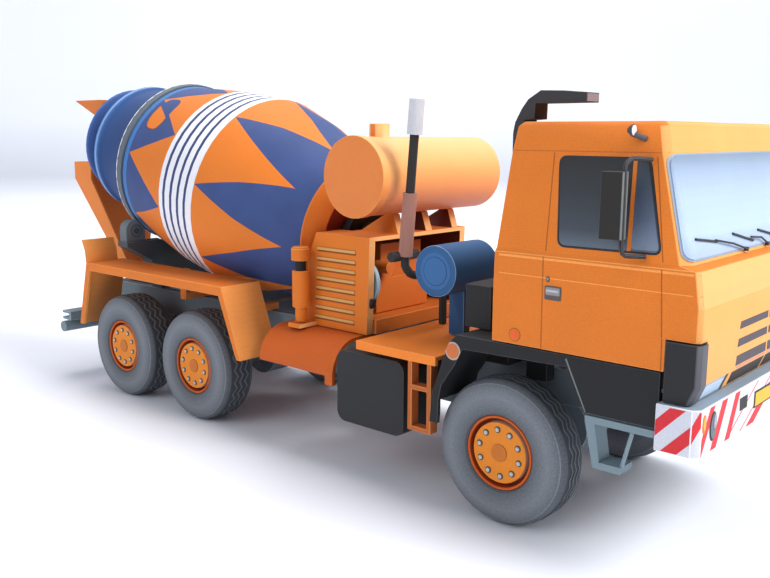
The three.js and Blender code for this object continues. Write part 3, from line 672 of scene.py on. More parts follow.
# ---------------------------------------------------------------- drum
# places along the drum's axis, in millimetres from its middle, and turns about it, in degrees
BELT_REAR, BELT_FRONT = 0.9, 19.9
POINTS = 8  # blue points around the drum, on each side of the belt
FRONT_TURN, FRONT_PEAK, FRONT_REACH = 125.2, 0.54, 33.4
REAR_TURN, REAR_PEAK, REAR_REACH = 148.2, 0.45, 23.6
HATCH_TURN, HATCH_AT, HATCH_HALF_W, HATCH_HALF_L = 135.2, -16.4, 7.3, 4.9
HATCH_MM_A_DEGREE = 0.524
LIP_FROM, TAIL_FROM, TAIL_TO = -23.7, -26.2, -66.8
HEAD_FROM, HEAD_R = 59.6, 22.0
MOUTH_FROM, MOUTH_R = -50.0, 14.3
PRINT_EDGE = 0.1


def drum_material():
    t = Tree("drum_print")
    at = t.minus(t.coords(), DRUM_MID)
    s = t.math("MULTIPLY", t.dot(at, DRUM_WAY), 1000.0)
    across = t.dot(at, Vector((0, 1, 0)))
    up = t.dot(at, DRUM_UP)
    square = t.math("ADD", t.math("MULTIPLY", across, across), t.math("MULTIPLY", up, up))
    r = t.math("MULTIPLY", t.math("SQRT", square), 1000.0)
    turn = t.math("MULTIPLY", t.math("ARCTAN2", up, across), 180 / math.pi)

    def below(value, limit, width=PRINT_EDGE):
        """1 below the limit, 0 above it."""
        return t.math("SUBTRACT", 1.0, t.soft_step(value, limit, width))

    def zigzag(first, peak):
        """0 where two blue points meet at the belt, 1 at a point's tip."""
        k = t.math("DIVIDE", t.math("SUBTRACT", turn, first), 360.0 / POINTS)
        part = t.math("FRACT", t.math("ADD", k, 2.0 * POINTS))
        rise = t.math("DIVIDE", part, peak)
        fall = t.math("DIVIDE", t.math("SUBTRACT", 1.0, part), 1.0 - peak)
        return t.math("MINIMUM", rise, fall)

    front_rise = t.math("MULTIPLY", zigzag(FRONT_TURN, FRONT_PEAK), FRONT_REACH)
    rear_rise = t.math("MULTIPLY", zigzag(REAR_TURN, REAR_PEAK), REAR_REACH)
    front_edge = t.math("ADD", front_rise, BELT_FRONT)
    rear_edge = t.math("SUBTRACT", BELT_REAR - 0.6, rear_rise)
    in_front = t.soft_step(t.math("SUBTRACT", s, front_edge), 0.0, PRINT_EDGE)
    in_rear = t.soft_step(t.math("SUBTRACT", rear_edge, s), 0.0, PRINT_EDGE)
    print_blue = t.mix(t.noise(at, 120, 2), "#304170", "#3b5085")
    base = t.mix(in_front, ORANGE, print_blue)
    base = t.mix(in_rear, base, print_blue)
    # the filler hatch, a rounded lid whose print is turned against the pattern around it
    around = t.math("MULTIPLY", t.math("SUBTRACT", turn, HATCH_TURN), HATCH_MM_A_DEGREE)
    along = t.math("SUBTRACT", s, HATCH_AT)

    def lid(grow):
        """1 inside the lid's outline drawn larger by `grow` millimetres."""
        a = t.math("POWER", t.math("DIVIDE", t.math("ABSOLUTE", around), HATCH_HALF_W + grow), 3.0)
        b = t.math("POWER", t.math("DIVIDE", t.math("ABSOLUTE", along), HATCH_HALF_L + grow), 3.0)
        return below(t.math("ADD", a, b), 1.0, 0.02)

    lean = t.math("SUBTRACT", around, t.math("MULTIPLY", along, 0.5))
    orange_part = t.soft_step(lean, -0.4, 0.06)
    lid_print = t.mix(orange_part, print_blue, ORANGE)
    rim_line = t.mix(orange_part, print_blue, "#7d3514")
    base = t.mix(lid(0.0), base, rim_line)
    base = t.mix(lid(-0.28), base, lid_print)
    # belt with four navy stripes
    share = t.range(s, BELT_REAR, BELT_FRONT)
    belt = t.ramp(
        share,
        [
            (0.0, WHITE), (0.113, NAVY), (0.184, WHITE), (0.332, NAVY), (0.403, WHITE),
            (0.545, NAVY), (0.616, WHITE), (0.752, NAVY), (0.823, WHITE),
        ],
        "CONSTANT",
    )
    on_belt = t.math("MULTIPLY", t.soft_step(s, BELT_REAR, 0.08), below(s, BELT_FRONT, 0.08))
    base = t.mix(on_belt, base, belt)
    # painted highlight along a bright lip in front of the hoop, then the plain blue cone with a painted
    # highlight line at each ring
    base = t.mix(below(s, LIP_FROM), base, "#4279ba")
    tail_blue = t.ramp(
        t.range(s, TAIL_TO, TAIL_FROM + 0.2),
        [
            (0.0, "#5a8acb"), (0.045, "#3b65a8"), (0.09, "#2b477e"), (0.29, "#31507f"),
            (0.33, "#4474b8"), (0.352, "#90b0d6"), (0.37, "#3a67a8"), (0.41, "#2c4a7e"),
            (0.6, "#2a4576"), (0.93, "#29416f"), (1.0, "#304c7e"),
        ],
    )
    base = t.mix(below(s, TAIL_FROM), base, tail_blue)
    # front head: orange ring, and inside it a dark red disc, partly print and partly painted shade on the
    # head's front face
    head_colour = t.ramp(
        t.range(r, 0.0, HEAD_R), [(0.0, RED_DARK), (0.66, RED_DARK), (0.675, "#d8732a"), (1.0, ORANGE)]
    )
    base = t.mix(t.soft_step(s, HEAD_FROM, PRINT_EDGE), base, head_colour)
    # inside of the mouth
    mouth = t.math("MULTIPLY", below(s, MOUTH_FROM), below(r, MOUTH_R))
    base = t.mix(mouth, base, "#1f2c4d")
    return finish_card(t, base, 0.6, 0.8)


refined("mixer_drum", bevel=0, mats=[drum_material()], edge=False, angle=24)
refined("drum_hoop", bevel=0, edge=False, angle=24)
# the pale cut edge of the hoop's front side
sliver = lathe(
    "drum_hoop_edge",
    [
        (28.4, -29.5, 0), (29.75, -29.5, 0), (29.83, -29.35, 0), (29.75, -29.1, 0),
        (28.4, -29.1, 0), (28.4, -29.5, 0),
    ],
    DRUM_MID, DRUM_WAY, [card("#dfe3ea")], 120,
)
place(sliver, "drum")


# ---------------------------------------------------------------- carried-over nodes
PLAIN = [
    "chassis_frame", "front_axle", "mid_axle", "rear_axle", "backbone_tube", "bogie_tube",
    "underrun_bar", "rear_fender_right", "rear_fender_left", "side_skirt_right", "side_skirt_left",
    "deck_plate", "fuel_tank", "battery_box", "engine_base", "engine_cover", "engine_block",
    "cooling_fan", "filter_canister", "intake_box", "snorkel", "cab_shell", "cab_mount",
    "front_valance", "front_fender_right", "front_fender_left", "cab_step_right", "cab_step_left",
    "front_bumper", "mirror_right", "mirror_left", "drum_gearbox", "drum_pedestal",
    "discharge_hopper", "charging_hopper", "water_tank", "air_tank",
]
OWN_COLOUR = {
    "side_skirt_right": "#c25a1c",
    "side_skirt_left": "#c25a1c",
    "cab_mount": "#1a1a1c",
    "front_fender_right": "#1d1d1f",
    "front_fender_left": "#1d1d1f",
    "air_tank": "#2f5a88",
    "fuel_tank": "#2b2b2d",
    "cooling_fan": "#8fb0c0",
    "engine_block": "#cc6a24",
    "front_bumper": "#cbced8",
    "discharge_hopper": "#e2823a",
    "engine_base": "#cf6a22",
}


def front_light_and_shade(colour, lit):
    """Two cards of one piece: the plain one, and a copy on its forward faces that paints light on them when
    lighter and shade when darker.
    """
    return [card(colour), card(lit)], lambda p, normal: 1 if normal.x > 0.5 else 0


def by_height(low, high):
    """The second card between two heights in millimetres, and the first one elsewhere."""
    return lambda p, normal: 1 if low < p.z < high else 0


MIRROR_FACE_X = 33.2
NOSE_LOW, NOSE_HIGH = 60.3, 67.6  # the nose's upper facet
LADDER_TOP = 36
PEDESTAL_BOX_TOP = 56


def mirror_part(p, normal):
    """Painted light: the housing's front face is lighter than its sides and the wire."""
    return 1 if normal.x > 0.97 and abs(p.x - MIRROR_FACE_X) < 0.08 else 0


def cab_part(p, normal):
    """Painted light: the nose's forward faces are paler than the sides, and palest on its upper facet."""
    if normal.x < 0.5:
        return 0
    return 2 if NOSE_LOW < p.z < NOSE_HIGH else 1


def cover_part(p, normal):
    """Painted shade inside and under the roof, and pale along the panels' front edges."""
    if normal.z < -0.5 or p.y * normal.y < -1.0:
        return 1
    return 2 if normal.x > 0.5 else 0


def tank_part(p, normal):
    """The water tank's two flat ends are plain."""
    return 1 if abs(normal.y) > 0.9 else 0


# painted highlight and shade on the tank's card: pale along the top and deep orange below
_low, _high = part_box("water_tank")
tank_painted_shine = graded_card(
    "tank_painted_shine", _low.z, _high.z,
    [
        (0.0, "#c8642a"), (0.25, "#e4883f"), (0.45, "#eea35c"), (0.6, "#efb06e"),
        (0.74, "#efb578"), (0.85, "#efb97e"), (1.0, "#efb26c"),
    ],
    0.5, 0.8,
)
MIRROR_LOOK = ([card("#262422"), card("#6a7070")], mirror_part)
# painted light: the rear fenders' forward faces are paler than their sides
FENDER_LOOK = front_light_and_shade(ORANGE, "#f59d50")
# cards and the rule that deals them out, for nodes of more than one colour; on the cab, mirrors, valance,
# snorkel, fenders, engine cover and water tank the rules paint light and shade
PAINTED = {
    # painted light on the valance's forward faces, and painted shade on the snorkel's, against the light
    # bounced from the roof
    "front_valance": front_light_and_shade("#262628", "#57575e"),
    "snorkel": front_light_and_shade("#353334", "#1b1a1b"),
    "mirror_right": MIRROR_LOOK,
    "mirror_left": MIRROR_LOOK,
    "cab_shell": ([card(ORANGE), card("#e6a15a"), card("#e8ab6a")], cab_part),
    "engine_cover": ([card(ORANGE), card("#5a2314"), card("#f0b070")], cover_part),
    "deck_plate": ([card("#ee842e"), card("#b5602c")], by_height(-math.inf, LADDER_TOP)),
    "drum_pedestal": ([card(GREY), card("#4b5559")], by_height(-math.inf, PEDESTAL_BOX_TOP)),
    "rear_fender_right": FENDER_LOOK,
    "rear_fender_left": FENDER_LOOK,
    "filter_canister": ([card(ORANGE), card("#1d1c1d")], by_height(53.9, 55.9)),
    "water_tank": ([tank_painted_shine, card("#dd8040")], tank_part),
}
for node in PLAIN:
    if node in PAINTED:
        refined(node, mats=PAINTED[node][0], paint=PAINTED[node][1])
    else:
        refined(node, mats=[card(OWN_COLOUR[node])] if node in OWN_COLOUR else None)


TIP_FROM, MUFFLER_LOW, MUFFLER_HIGH = 92, 60.4, 78
MUFFLER_Y, MUFFLER_REACH, MUFFLER_REAR_X = -20, 2.3, -43.9


def stack_part(p, normal):
    """Exhaust: silver tip above, black pipe, rosy muffler, black elbow."""
    if p.z > TIP_FROM:
        return 1
    if p.z < MUFFLER_LOW or p.x < MUFFLER_REAR_X or abs(p.y - MUFFLER_Y) > MUFFLER_REACH:
        return 0
    return 2 if p.z < MUFFLER_HIGH else 0


refined(
    "exhaust_stack", 0, [card("#2b2a2b"), card("#c8cad0", 0.4), card("#9a6f63")], stack_part, 35, False
)


# ---------------------------------------------------------------- printed details of the cab, and a painted highlight along its belt
LINE = "#a4561c"
GLASS_LOW, GLASS_HIGH = 70 * MM, 89 * MM
side_glass = graded_card(
    "side_glass", GLASS_LOW, GLASS_HIGH,
    [(0.0, "#5c6773"), (0.2, "#3e454e"), (0.6, "#2f3338"), (0.8, "#282b2f"), (1.0, "#202225")],
    0.42, 0.7,
)
corner_glass = graded_card(
    "quarter_glass", GLASS_LOW, GLASS_HIGH,
    [(0.0, "#7b889a"), (0.35, "#58647a"), (0.8, "#3e4853"), (1.0, "#2f343b")],
    0.42, 0.7,
)
screen_glass = graded_card(
    "windscreen_glass", 69 * MM, 90 * MM,
    [(0.0, "#a0b4d0"), (0.25, "#aec2de"), (0.6, "#a4b8d4"), (0.82, "#93a6c0"), (1.0, "#73859b")],
    0.4, 0.5,
)
WINDOW = [(14.5, 88.8), (16.2, 70.2), (39.0, 70.4), (34.7, 88.7)]

BADGE_AT, REFLECTOR_AT = (6.2, 49.0), (-11.4, 42.2)

for side, sign, look in SIDES:
    # the door lines are print; the pale strip at z 66.9 is a painted highlight along the belt, and a fainter
    # pale line runs at z 62.8
    patch(
        f"door_lines_{side}", "cab_shell",
        [
            (strip([(12.8, 89.8), (13.1, 68.6)], 0.24), 0),
            (strip([(12.9, 67.4), (13.1, 46.9)], 0.24), 0),
            (strip([(36.3, 89.2), (39.8, 68.7)], 0.24), 0),
            (strip([(39.9, 67.4), (40.7, 53.6)], 0.24), 0),
            (strip([(40.75, 53.4), (40.9, 46.9)], 0.24), 0),
            (strip([(2.3, 90.1), (38.2, 90.1)], 0.16), 1),
            (strip([(1.4, 66.9), (47.4, 66.9)], 0.5), 2),
            (strip([(1.4, 62.8), (48.2, 62.8)], 0.22), 2),
        ],
        look, [card(LINE), card("#b9642a"), card("#f09a4c")], 0.04, 0.1, grid=1.5,
    )
    patch(
        f"side_window_{side}", "cab_shell",
        [
            (rounded([(14.05, 89.2), (15.75, 69.75), (39.5, 69.95), (35.05, 89.15)], 2.0), 0),
            (rounded(WINDOW, 1.6), 1, 0.05),
            (rounded([(31.8, 88.3), (32.6, 70.7), (38.7, 70.8), (34.5, 88.3)], 0.9), 2, 0.09),
            ([(26.2, 86.0), (25.6, 72.4), (31.1, 72.0), (31.3, 86.6)], 3, 0.08),
            ([(27.2, 85.2), (26.6, 79.0), (30.4, 74.0), (30.8, 86.0)], 4, 0.1),
            ([(31.3, 88.7), (31.95, 70.3), (32.8, 70.3), (32.15, 88.7)], 5, 0.14),
        ],
        look,
        [
            card("#222428", 0.5), side_glass, corner_glass, card("#2b2d30", 0.45), card("#232427", 0.45),
            card(ORANGE),
        ],
        0.05, 0.14,
    )
    patch(
        f"door_handle_{side}", "cab_shell",
        [
            (rounded([(13.6, 61.2), (13.6, 58.1), (17.7, 58.1), (17.7, 61.2)], 0.4), 0),
            (rounded([(13.9, 60.9), (13.9, 59.2), (17.4, 59.2), (17.4, 60.9)], 0.3), 1, 0.1),
            (rounded([(14.1, 60.4), (14.1, 59.9), (17.2, 59.9), (17.2, 60.4)], 0.2), 2, 0.22),
            (ellipse(14.3, 62.6, 0.45, 0.7), 0),
            (ellipse(14.3, 62.7, 0.22, 0.35), 1, 0.06),
        ],
        look, [card("#5a5350"), card("#8d8b8c", 0.45), card("#b7b6b8", 0.4)], 0.12, 0.2,
    )
    patch(
        f"filler_badge_{side}", "cab_shell",
        [
            (ellipse(*BADGE_AT, 1.55), 0), (ellipse(*BADGE_AT, 1.35), 1, 0.05),
            (ellipse(*BADGE_AT, 1.0), 2, 0.1),
        ],
        look, [card("#a5561f"), card("#d8702c"), card("#e2622b")], 0.05, 0.12,
    )
    patch(
        f"side_reflector_{side}", f"front_fender_{side}",
        [(ellipse(*REFLECTOR_AT, 2.25), 0), (ellipse(*REFLECTOR_AT, 1.8), 1, 0.14)],
        look, [card("#b7a49b"), card("#c8703f")], 0.12, 0.3,
    )

patch(
    "snorkel_mouth", "snorkel",
    [([(-30.8, 100.7), (-25.7, 100.7), (-25.7, 102.4), (-30.8, 102.4)], 0)],
    "+x", [card("#83777d")], 0.05, 0.12,
)
patch(
    "windscreen", "cab_shell",
    [
        (rounded([(-37.9, 69.0), (37.9, 69.0), (35.3, 89.9), (-35.3, 89.9)], 2.2), 0),
        (rounded([(-37.5, 69.4), (37.5, 69.4), (34.9, 89.5), (-34.9, 89.5)], 2.0), 1, 0.15),
    ],
    "+x", [card("#8fa0b5", 0.5), screen_glass], 0.13, 0.3, grid=0.6,
)

# the right half's slots, as outer end, bottom and top; the left half mirrors them
GRILLE_INNER_Y, GRILLE_OUTER_Y, SLOT_LEAN = -0.5, -18.5, -0.5
grille = []
for outer_y, z0, z1 in ((-17.4, 53.2, 54.8), (-18.1, 49.4, 51.1), (GRILLE_OUTER_Y, 45.4, 47.5)):
    bar = [(outer_y, z1), (outer_y + SLOT_LEAN, z0), (GRILLE_INNER_Y, z0), (GRILLE_INNER_Y, z1)]
    grille += [(bar, 0), (mirror_y(bar)[::-1], 0)]
for y0, y1 in ((GRILLE_OUTER_Y, GRILLE_INNER_Y), (-GRILLE_INNER_Y, -GRILLE_OUTER_Y)):
    grille.append(([(y0, 45.15), (y0, 44.5), (y1, 44.5), (y1, 45.15)], 1))
patch("grille_slots", "cab_shell", grille, "+x", [card("#4b464d"), card("#c08a74")], 0.05, 0.12)

lamps = []
for mirror in (False, True):
    flip = (lambda o: mirror_y(o)[::-1]) if mirror else (lambda o: o)
    lamps += [
        (flip([(-35.1, 44.5), (-35.1, 41.0), (-24.0, 41.0), (-24.0, 44.5)]), 0),
        (flip([(-34.4, 44.1), (-34.4, 41.5), (-24.8, 41.5), (-24.8, 44.1)]), 1, 0.06),
        (flip([(-24.0, 44.5), (-24.0, 41.0), (-22.4, 41.0), (-22.4, 44.5)]), 2),
        (flip([(-20.4, 44.3), (-19.6, 41.2), (-0.5, 41.2), (-0.5, 44.3)]), 3),
    ]
patch(
    "headlights", "cab_shell", lamps, "+x",
    [card("#8ea3b8", 0.4), card("#b7cbe0", 0.35), card("#3a3532"), card("#2c2523")], 0.05, 0.12,
)

# work lamp on the right edge of the roof, held by a bent arm
roof_lamp = lathe(
    "roof_lamp",
    [
        (0, 0, 1), (0.55, 0.05, 1), (1.15, 0.8, 1), (1.3, 1.25, 0), (1.05, 1.35, 2), (0.6, 1.5, 2),
        (0, 1.55, 2),
    ],
    P(30.1, -36.7, 94.5), Vector((1, 0, 0)),
    [card("#6b4a44", 0.4), card("#4a4648"), card("#dfe2ea", 0.3)], 40,
)
place(roof_lamp, "chassis")
rods(
    "roof_lamp_arm",
    [([(30.8, -36.4, 93.9), (31.7, -36.1, 93.5), (32.6, -35.6, 93.1), (33.3, -34.9, 92.8)], 0.62, 0)],
    [card("#5a5358")], "chassis",
)

# wipers stand off the windscreen on thin arms
SCREEN_LEAN = 6.6 / 21.6
SCREEN_FOOT_X, SCREEN_FOOT_Z = 45.2, 68.4


def on_screen(y, z, off):
    """A point `off` millimetres in front of the windscreen."""
    return (SCREEN_FOOT_X - (z - SCREEN_FOOT_Z) * SCREEN_LEAN + off, y, z)


# each wiper as the blade's two ends and the foot of its arm, across and up
wipers = []
for a, b, foot in (
    ((-33.8, 73.3), (-23.6, 72.0), (-8.6, 69.2)),
    ((-14.2, 72.9), (-3.4, 70.6), (4.8, 69.2)),
    ((1.0, 72.6), (11.6, 70.6), (19.2, 69.2)),
):
    middle = ((a[0] + b[0]) / 2 + 4.0, (a[1] + b[1]) / 2 - 0.25)
    elbow = ((b[0] + foot[0]) / 2, 71.0)
    wipers.append(([on_screen(*a, 0.5), on_screen(*b, 0.5)], 0.26, 0))
    wipers.append(([on_screen(*middle, 0.8), on_screen(*elbow, 1.0), on_screen(*foot, 0.8)], 0.22, 0))
    wipers.append(([on_screen(*foot, -0.2), on_screen(*foot, 1.0)], 0.5, 1))
rods("wipers", wipers, [card("#2e3338"), card("#42474d")], "chassis")


# ---------------------------------------------------------------- bumper
def clip_band(points, low, high, left, right):
    """Part of a leaning band inside the rectangle."""

    def cut(poly, inside, cross):
        out = []
        for i, p in enumerate(poly):
            q = poly[(i + 1) % len(poly)]
            if inside(p):
                out.append(p)
            if inside(p) != inside(q):
                out.append(cross(p, q))
        return out

    def at_a(v):
        return lambda p, q: (v, p[1] + (q[1] - p[1]) * (v - p[0]) / (q[0] - p[0]))

    def at_b(v):
        return lambda p, q: (p[0] + (q[0] - p[0]) * (v - p[1]) / (q[1] - p[1]), v)

    points = cut(points, lambda p: p[1] >= low, at_b(low))
    points = cut(points, lambda p: p[1] <= high, at_b(high)) if points else points
    points = cut(points, lambda p: p[0] >= left, at_a(left)) if points else points
    points = cut(points, lambda p: p[0] <= right, at_a(right)) if points else points
    return points if len(points) > 2 else None


STRIPE_LOW, STRIPE_HIGH = 30.9, 40.2
# each red band on the right half: its left end along the bottom, its width, and how far it leans to the top
FRONT_BANDS = (
    (-41.0, 2.4, 6.0), (-33.9, 2.9, 5.2), (-26.2, 2.7, 4.8),
    (-25.6, 0.55, 17.5), (-17.7, 0.55, 18.5), (-13.9, 4.6, 17.0),
)
SIDE_BANDS = ((35.2, 3.2, 8.8), (42.4, 3.4, 8.8))


def leaning(left, width, lean, x0, x1):
    """A leaning stripe of the bumper between x0 and x1."""
    right = left + width
    band = [
        (left, STRIPE_LOW), (right, STRIPE_LOW), (right + lean, STRIPE_HIGH), (left + lean, STRIPE_HIGH)
    ]
    return clip_band(band, STRIPE_LOW, STRIPE_HIGH, x0, x1)


front_bands = []
for left, width, lean in FRONT_BANDS:
    inside = leaning(left, width, lean, -38.8, -0.2)
    front_bands += [(inside, 0), (mirror_y(inside)[::-1], 0)]
patch("bumper_stripes_front", "front_bumper", front_bands, "+x", [card(RED)], 0.04, 0.1)
for side, sign, look in SIDES:
    bands = [(leaning(*band, 41.1, 48.3), 0) for band in SIDE_BANDS]
    bands.append(([(48.6, 33.6), (48.6, 37.4), (49.6, 40.1), (49.85, 40.1), (49.85, 37.0)], 0))
    patch(f"bumper_stripes_{side}", "front_bumper", bands, look, [card(RED)], 0.04, 0.1)
patch(
    "bumper_top", "front_bumper",
    [([(41.2, -40.2), (48.3, -40.2), (49.6, -39.0), (49.6, 39.0), (48.3, 40.2), (41.2, 40.2)], 0)],
    "+z", [card("#8797a7")], 0.05, 0.12,
)
# fog lamps, indicators, tow openings and a bare number plate
FOG_Y, INDICATOR_Y = 33.2, 37.9
front_bits = []
for flip in (1, -1):
    front_bits += [
        (ellipse(flip * FOG_Y, 36.0, 1.8, 3.1), 0),
        (ellipse(flip * FOG_Y, 36.0, 1.45, 2.7), 1, 0.12),
        # painted highlight: a small pale spot high on each fog lamp's lens
        (ellipse(flip * (FOG_Y - 0.6), 36.9, 0.7, 1.5), 2, 0.2),
        (ellipse(flip * INDICATOR_Y, 37.4, 0.95, 2.0), 6),
        (ellipse(flip * INDICATOR_Y, 37.6, 0.6, 1.4), 7, 0.1),
    ]
    quad = [(-18.8, 38.4), (-18.4, 35.6), (-14.2, 35.6), (-14.2, 38.4)]
    front_bits.append(([(flip * a, b) for a, b in quad][::flip], 3))
front_bits.append(([(-9.8, 38.0), (-9.8, 34.2), (8.4, 34.2), (8.4, 38.0)], 4, 0.06))
front_bits.append(([(-9.4, 37.6), (-9.4, 34.6), (8.0, 34.6), (8.0, 37.6)], 5, 0.14))
patch(
    "bumper_lamps", "front_bumper", front_bits, "+x",
    [
        card("#3a3c40"), card("#4a525c", 0.3), card("#8b98a6", 0.25), card("#2b2b2d"), card("#3b3320"),
        card("#d8a93a"), card("#dd7426"), card("#f0a34e"),
    ],
    0.08, 0.16,
)
rods(
    "tow_hook",
    [
        ([(44.5, y, 30.9), (44.5, y, 28.6), (45.0, y * 0.96, 27.4)], 0.7, 0) for y in (-17.5, 17.5)
    ]
    + [([(45.0, -17.2, 27.4), (45.3, -6, 27.0), (45.3, 6, 27.0), (45.0, 17.2, 27.4)], 0.6, 0)],
    [card("#3c4248")], "chassis",
)


# ---------------------------------------------------------------- engine housing
LOUVRES, LOUVRE_TOP, LOUVRE_PITCH, LOUVRE_H = 8, 60.3, 2.95, 0.75
LOUVRE_REAR_X, LOUVRE_FRONT_X, LOUVRE_LEAN = -75.3, -59.9, 0.17


def bar_outline(x0, x1, low, high):
    return [(x0, high), (x0, low), (x1, low), (x1, high)]


for side, sign, look in SIDES:
    items = []
    for k in range(LOUVRES):
        z = LOUVRE_TOP - k * LOUVRE_PITCH
        x0, x1 = LOUVRE_REAR_X - k * LOUVRE_LEAN, LOUVRE_FRONT_X - k * LOUVRE_LEAN * 0.5
        bottom = z - LOUVRE_H
        # pale tan slats, each with a painted shadow strip under it and a thin darker strip over it
        items += [
            (bar_outline(x0, x1, bottom, z), 0, 0.22),
            (bar_outline(x0 - 0.15, x1 + 0.15, bottom - 0.55, bottom), 1),
            ([(x0, z + 0.22), (x0, z), (x1, z), (x1, z + 0.22)], 2, 0.05),
        ]
    patch(
        f"louvres_{side}", "engine_cover", items, look,
        [card("#cda262"), card("#8b4a1c"), card("#c06a2a")], 0.06, 0.2,
    )

STEP_RIBS, RIBS_FROM_X, RIB_PITCH = 26, 25.2, 0.6
ROLLER_Y, ROLLER_Z = 24.0, 58.4

for side, sign, look in SIDES:
    # paler cut edge down the front fender's leg, and the dark ribs of the step's tread
    patch(
        f"fender_edge_{side}", f"front_fender_{side}",
        [(strip([(19.2, 45.6), (24.4, 34.6)], 0.4), 0)],
        look, [card("#6f7374")], 0.05, 0.12,
    )
    ribs = []
    for k in range(STEP_RIBS):
        x = RIBS_FROM_X + k * RIB_PITCH
        ribs.append(([(x, 33.9), (x + 0.25, 33.9), (x + 0.25, 34.6), (x, 34.6)], 0))
    patch(f"step_ribs_{side}", f"front_fender_{side}", ribs, look, [card("#6b7a80")], 0.05, 0.12)
    # roller hub on the pedestal's bracket
    patch(
        f"roller_hub_{side}", "drum_pedestal",
        [
            (ellipse(sign * ROLLER_Y, ROLLER_Z, 2.3), 0),
            (ellipse(sign * ROLLER_Y, ROLLER_Z, 2.05), 1, 0.06),
            (ellipse(sign * ROLLER_Y, ROLLER_Z, 0.95), 0, 0.2),
            (ellipse(sign * ROLLER_Y, ROLLER_Z, 0.6), 2, 0.3),
        ],
        "+x", [card("#333b40"), card("#5f6b73"), card("#4a545b")], 0.05, 0.14,
    )
FAN_AT, AIR_TANK_AT = (-63, 50.5), (-28.2, 58.2)
fan_rings = []
for radius in (4.6, 3.5, 2.4, 1.3):
    height = 0.02 * (5 - radius)
    fan_rings += [
        (ellipse(*FAN_AT, radius), 0, height), (ellipse(*FAN_AT, radius - 0.3), 1, height + 0.04)
    ]
patch("fan_rings", "cooling_fan", fan_rings, "-y", [card("#5f7f8e"), card("#8fb0c0")], 0.04, 0.1)

# the fan's pale ring and its hose show past the front edge of the louvred panel
fan_ring = lathe(
    "fan_ring",
    [
        (0, 0.7, 1), (5.4, 0.7, 1), (5.5, 0.35, 0), (6.9, 0.2, 0), (7.3, 0.0, 0), (7.5, 0.2, 0),
        (7.5, 1.3, 1), (7.2, 1.5, 1), (0, 1.5, 1),
    ],
    P(-61.6, -18.2, 50.8), Vector((0, 1, 0)), [card("#9dbccb"), card("#6f8e9c")], 72,
)
place(fan_ring, "chassis")
rods(
    "fan_hose",
    [([(-54.9, -19.2, 46.6), (-55.1, -19.4, 45.2), (-56.4, -19.4, 44.2), (-58.4, -19.2, 43.8)], 1.1, 0)],
    [card("#1f1e20")], "chassis", 16,
)

patch(
    "air_tank_ring", "air_tank",
    [
        (ellipse(*AIR_TANK_AT, 4.9), 1), (ellipse(*AIR_TANK_AT, 3.9), 0, 0.05),
        (ellipse(*AIR_TANK_AT, 3.65), 1, 0.08),
    ],
    "-y", [card("#2b5082"), card("#3a689c")], 0.04, 0.1,
)


# ---------------------------------------------------------------- camera, floor and light
CAMERA_AT = Vector((0.1990, -0.20443, 0.09336))
CAMERA_YAW, CAMERA_DOWN, CAMERA_ROLL = math.radians(41.36), math.radians(9.92), 0.0049


def camera():
    yaw, down = CAMERA_YAW, CAMERA_DOWN
    cam = bpy.data.cameras.new("camera")
    cam.lens = 41.24
    cam.sensor_width = 36.0
    cam.clip_start = 0.01
    obj = bpy.data.objects.new("camera", cam)
    bpy.context.scene.collection.objects.link(obj)
    look = Vector((-math.sin(yaw) * math.cos(down), math.cos(yaw) * math.cos(down), -math.sin(down)))
    right = Vector((math.cos(yaw), math.sin(yaw), 0))
    up = right.cross(look)
    turn = Matrix((right, up, -look)).transposed()
    turn = turn @ Matrix.Rotation(CAMERA_ROLL, 3, "Z")
    obj.matrix_world = Matrix.Translation(CAMERA_AT) @ turn.to_4x4()
    bpy.context.scene.camera = obj


FLOOR_REACH, WALL_AT, WALL_BEND = 12.0, 1.6, 0.5  # metres
FLOOR_BEND_STEPS = 10


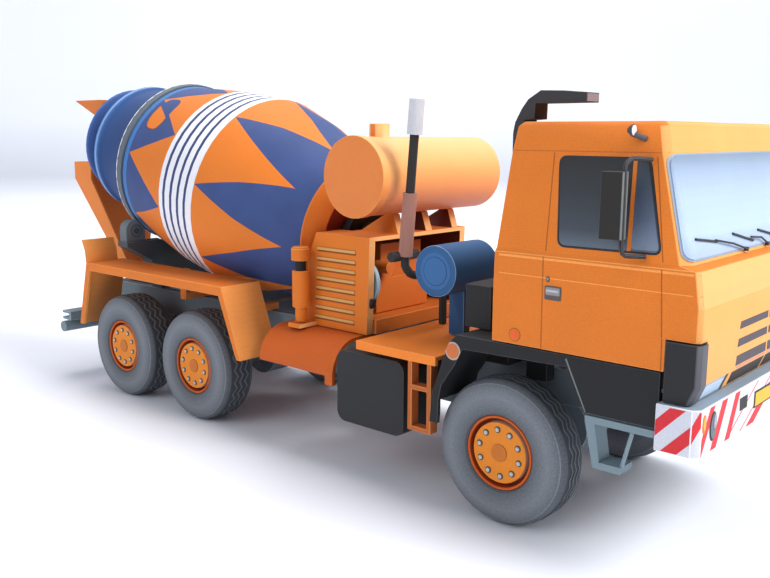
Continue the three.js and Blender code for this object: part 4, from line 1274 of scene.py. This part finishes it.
def floor():
    t = Tree("floor")
    at = t.coords()
    tone = t.ramp(t.noise(at, 3, 1), [(0.3, "#e9edf7"), (0.7, "#eef1fa")])
    bsdf = t.bsdf
    t.put(bsdf.inputs["Base Color"], tone)
    bsdf.inputs["Roughness"].default_value = 0.9
    bsdf.inputs["Specular IOR Level"].default_value = 0.1
    # the wall behind shows white to the camera and in reflections, and adds no other light to the truck
    height = t.new("ShaderNodeSeparateXYZ")
    t.put(height.inputs["Vector"], at)
    path = t.new("ShaderNodeLightPath").outputs
    seen = t.math("MAXIMUM", path["Is Camera Ray"], path["Is Glossy Ray"])
    seen = t.math("MAXIMUM", seen, path["Is Transmission Ray"])
    glow = [(0.0, "#000000"), (0.25, "#7c8084"), (1.0, "#8a8a8a")]
    t.put(bsdf.inputs["Emission Color"], t.ramp(t.range(height.outputs["Z"], 0.0, 0.5), glow))
    t.put(bsdf.inputs["Emission Strength"], seen)
    # one sheet across the camera's look, flat under the truck and curving up far behind it
    bm = bmesh.new()
    side = [(-FLOOR_REACH, 0.0)]
    for k in range(FLOOR_BEND_STEPS + 1):
        a = math.pi / 2 * k / FLOOR_BEND_STEPS
        side.append((WALL_AT + WALL_BEND * math.sin(a), WALL_BEND - WALL_BEND * math.cos(a)))
    side += [(WALL_AT + WALL_BEND, WALL_BEND + 1.4), (WALL_AT + WALL_BEND, WALL_BEND + 2.8)]
    rows = [[bm.verts.new((x, y, z)) for x in (-FLOOR_REACH, FLOOR_REACH)] for y, z in side]
    for a, b in zip(rows, rows[1:]):
        bm.faces.new((a[0], a[1], b[1], b[0]))
    for v in bm.verts:
        v.co = Matrix.Rotation(CAMERA_YAW, 3, "Z") @ v.co
    obj = from_bmesh("floor", bm, [t.mat], 60)


def lamp(name, at, size, watts, colour=(1, 1, 1)):
    data = bpy.data.lights.new(name, "AREA")
    data.shape = "DISK"
    data.size = size
    data.energy = watts
    data.color = colour
    obj = bpy.data.objects.new(name, data)
    obj.location = at
    aim = Vector((0, 0, 0.05)) - Vector(at)
    obj.rotation_euler = aim.to_track_quat("-Z", "Y").to_euler()
    bpy.context.scene.collection.objects.link(obj)


camera()
floor()
lamp("key", (1.15, 0.3, 1.1), 0.9, 28.5, (1.0, 0.985, 0.95))
lamp("fill", (-0.3, -1.5, 0.9), 1.3, 7.9, (0.93, 0.96, 1.0))
lamp("top", (-0.5, 0.4, 1.6), 1.2, 15)
WORLD_LEVEL = 0.455
world = bpy.data.worlds.new("world")
world.use_nodes = True
background = world.node_tree.nodes["Background"]
background.inputs["Color"].default_value = (0.95, 0.965, 1.0, 1.0)
# the camera and reflections see the world white, and everything else gets its plain level
rays = world.node_tree.nodes.new("ShaderNodeLightPath").outputs
level = None
for key in ("Is Camera Ray", "Is Glossy Ray", "Is Transmission Ray"):
    node = world.node_tree.nodes.new("ShaderNodeMath")
    node.operation = "MAXIMUM"
    world.node_tree.links.new(rays[key], node.inputs[0])
    if level is None:
        node.inputs[1].default_value = WORLD_LEVEL
    else:
        world.node_tree.links.new(level, node.inputs[1])
    level = node.outputs[0]
world.node_tree.links.new(level, background.inputs["Strength"])
bpy.context.scene.world = world
bpy.context.scene.view_settings.view_transform = "Standard"
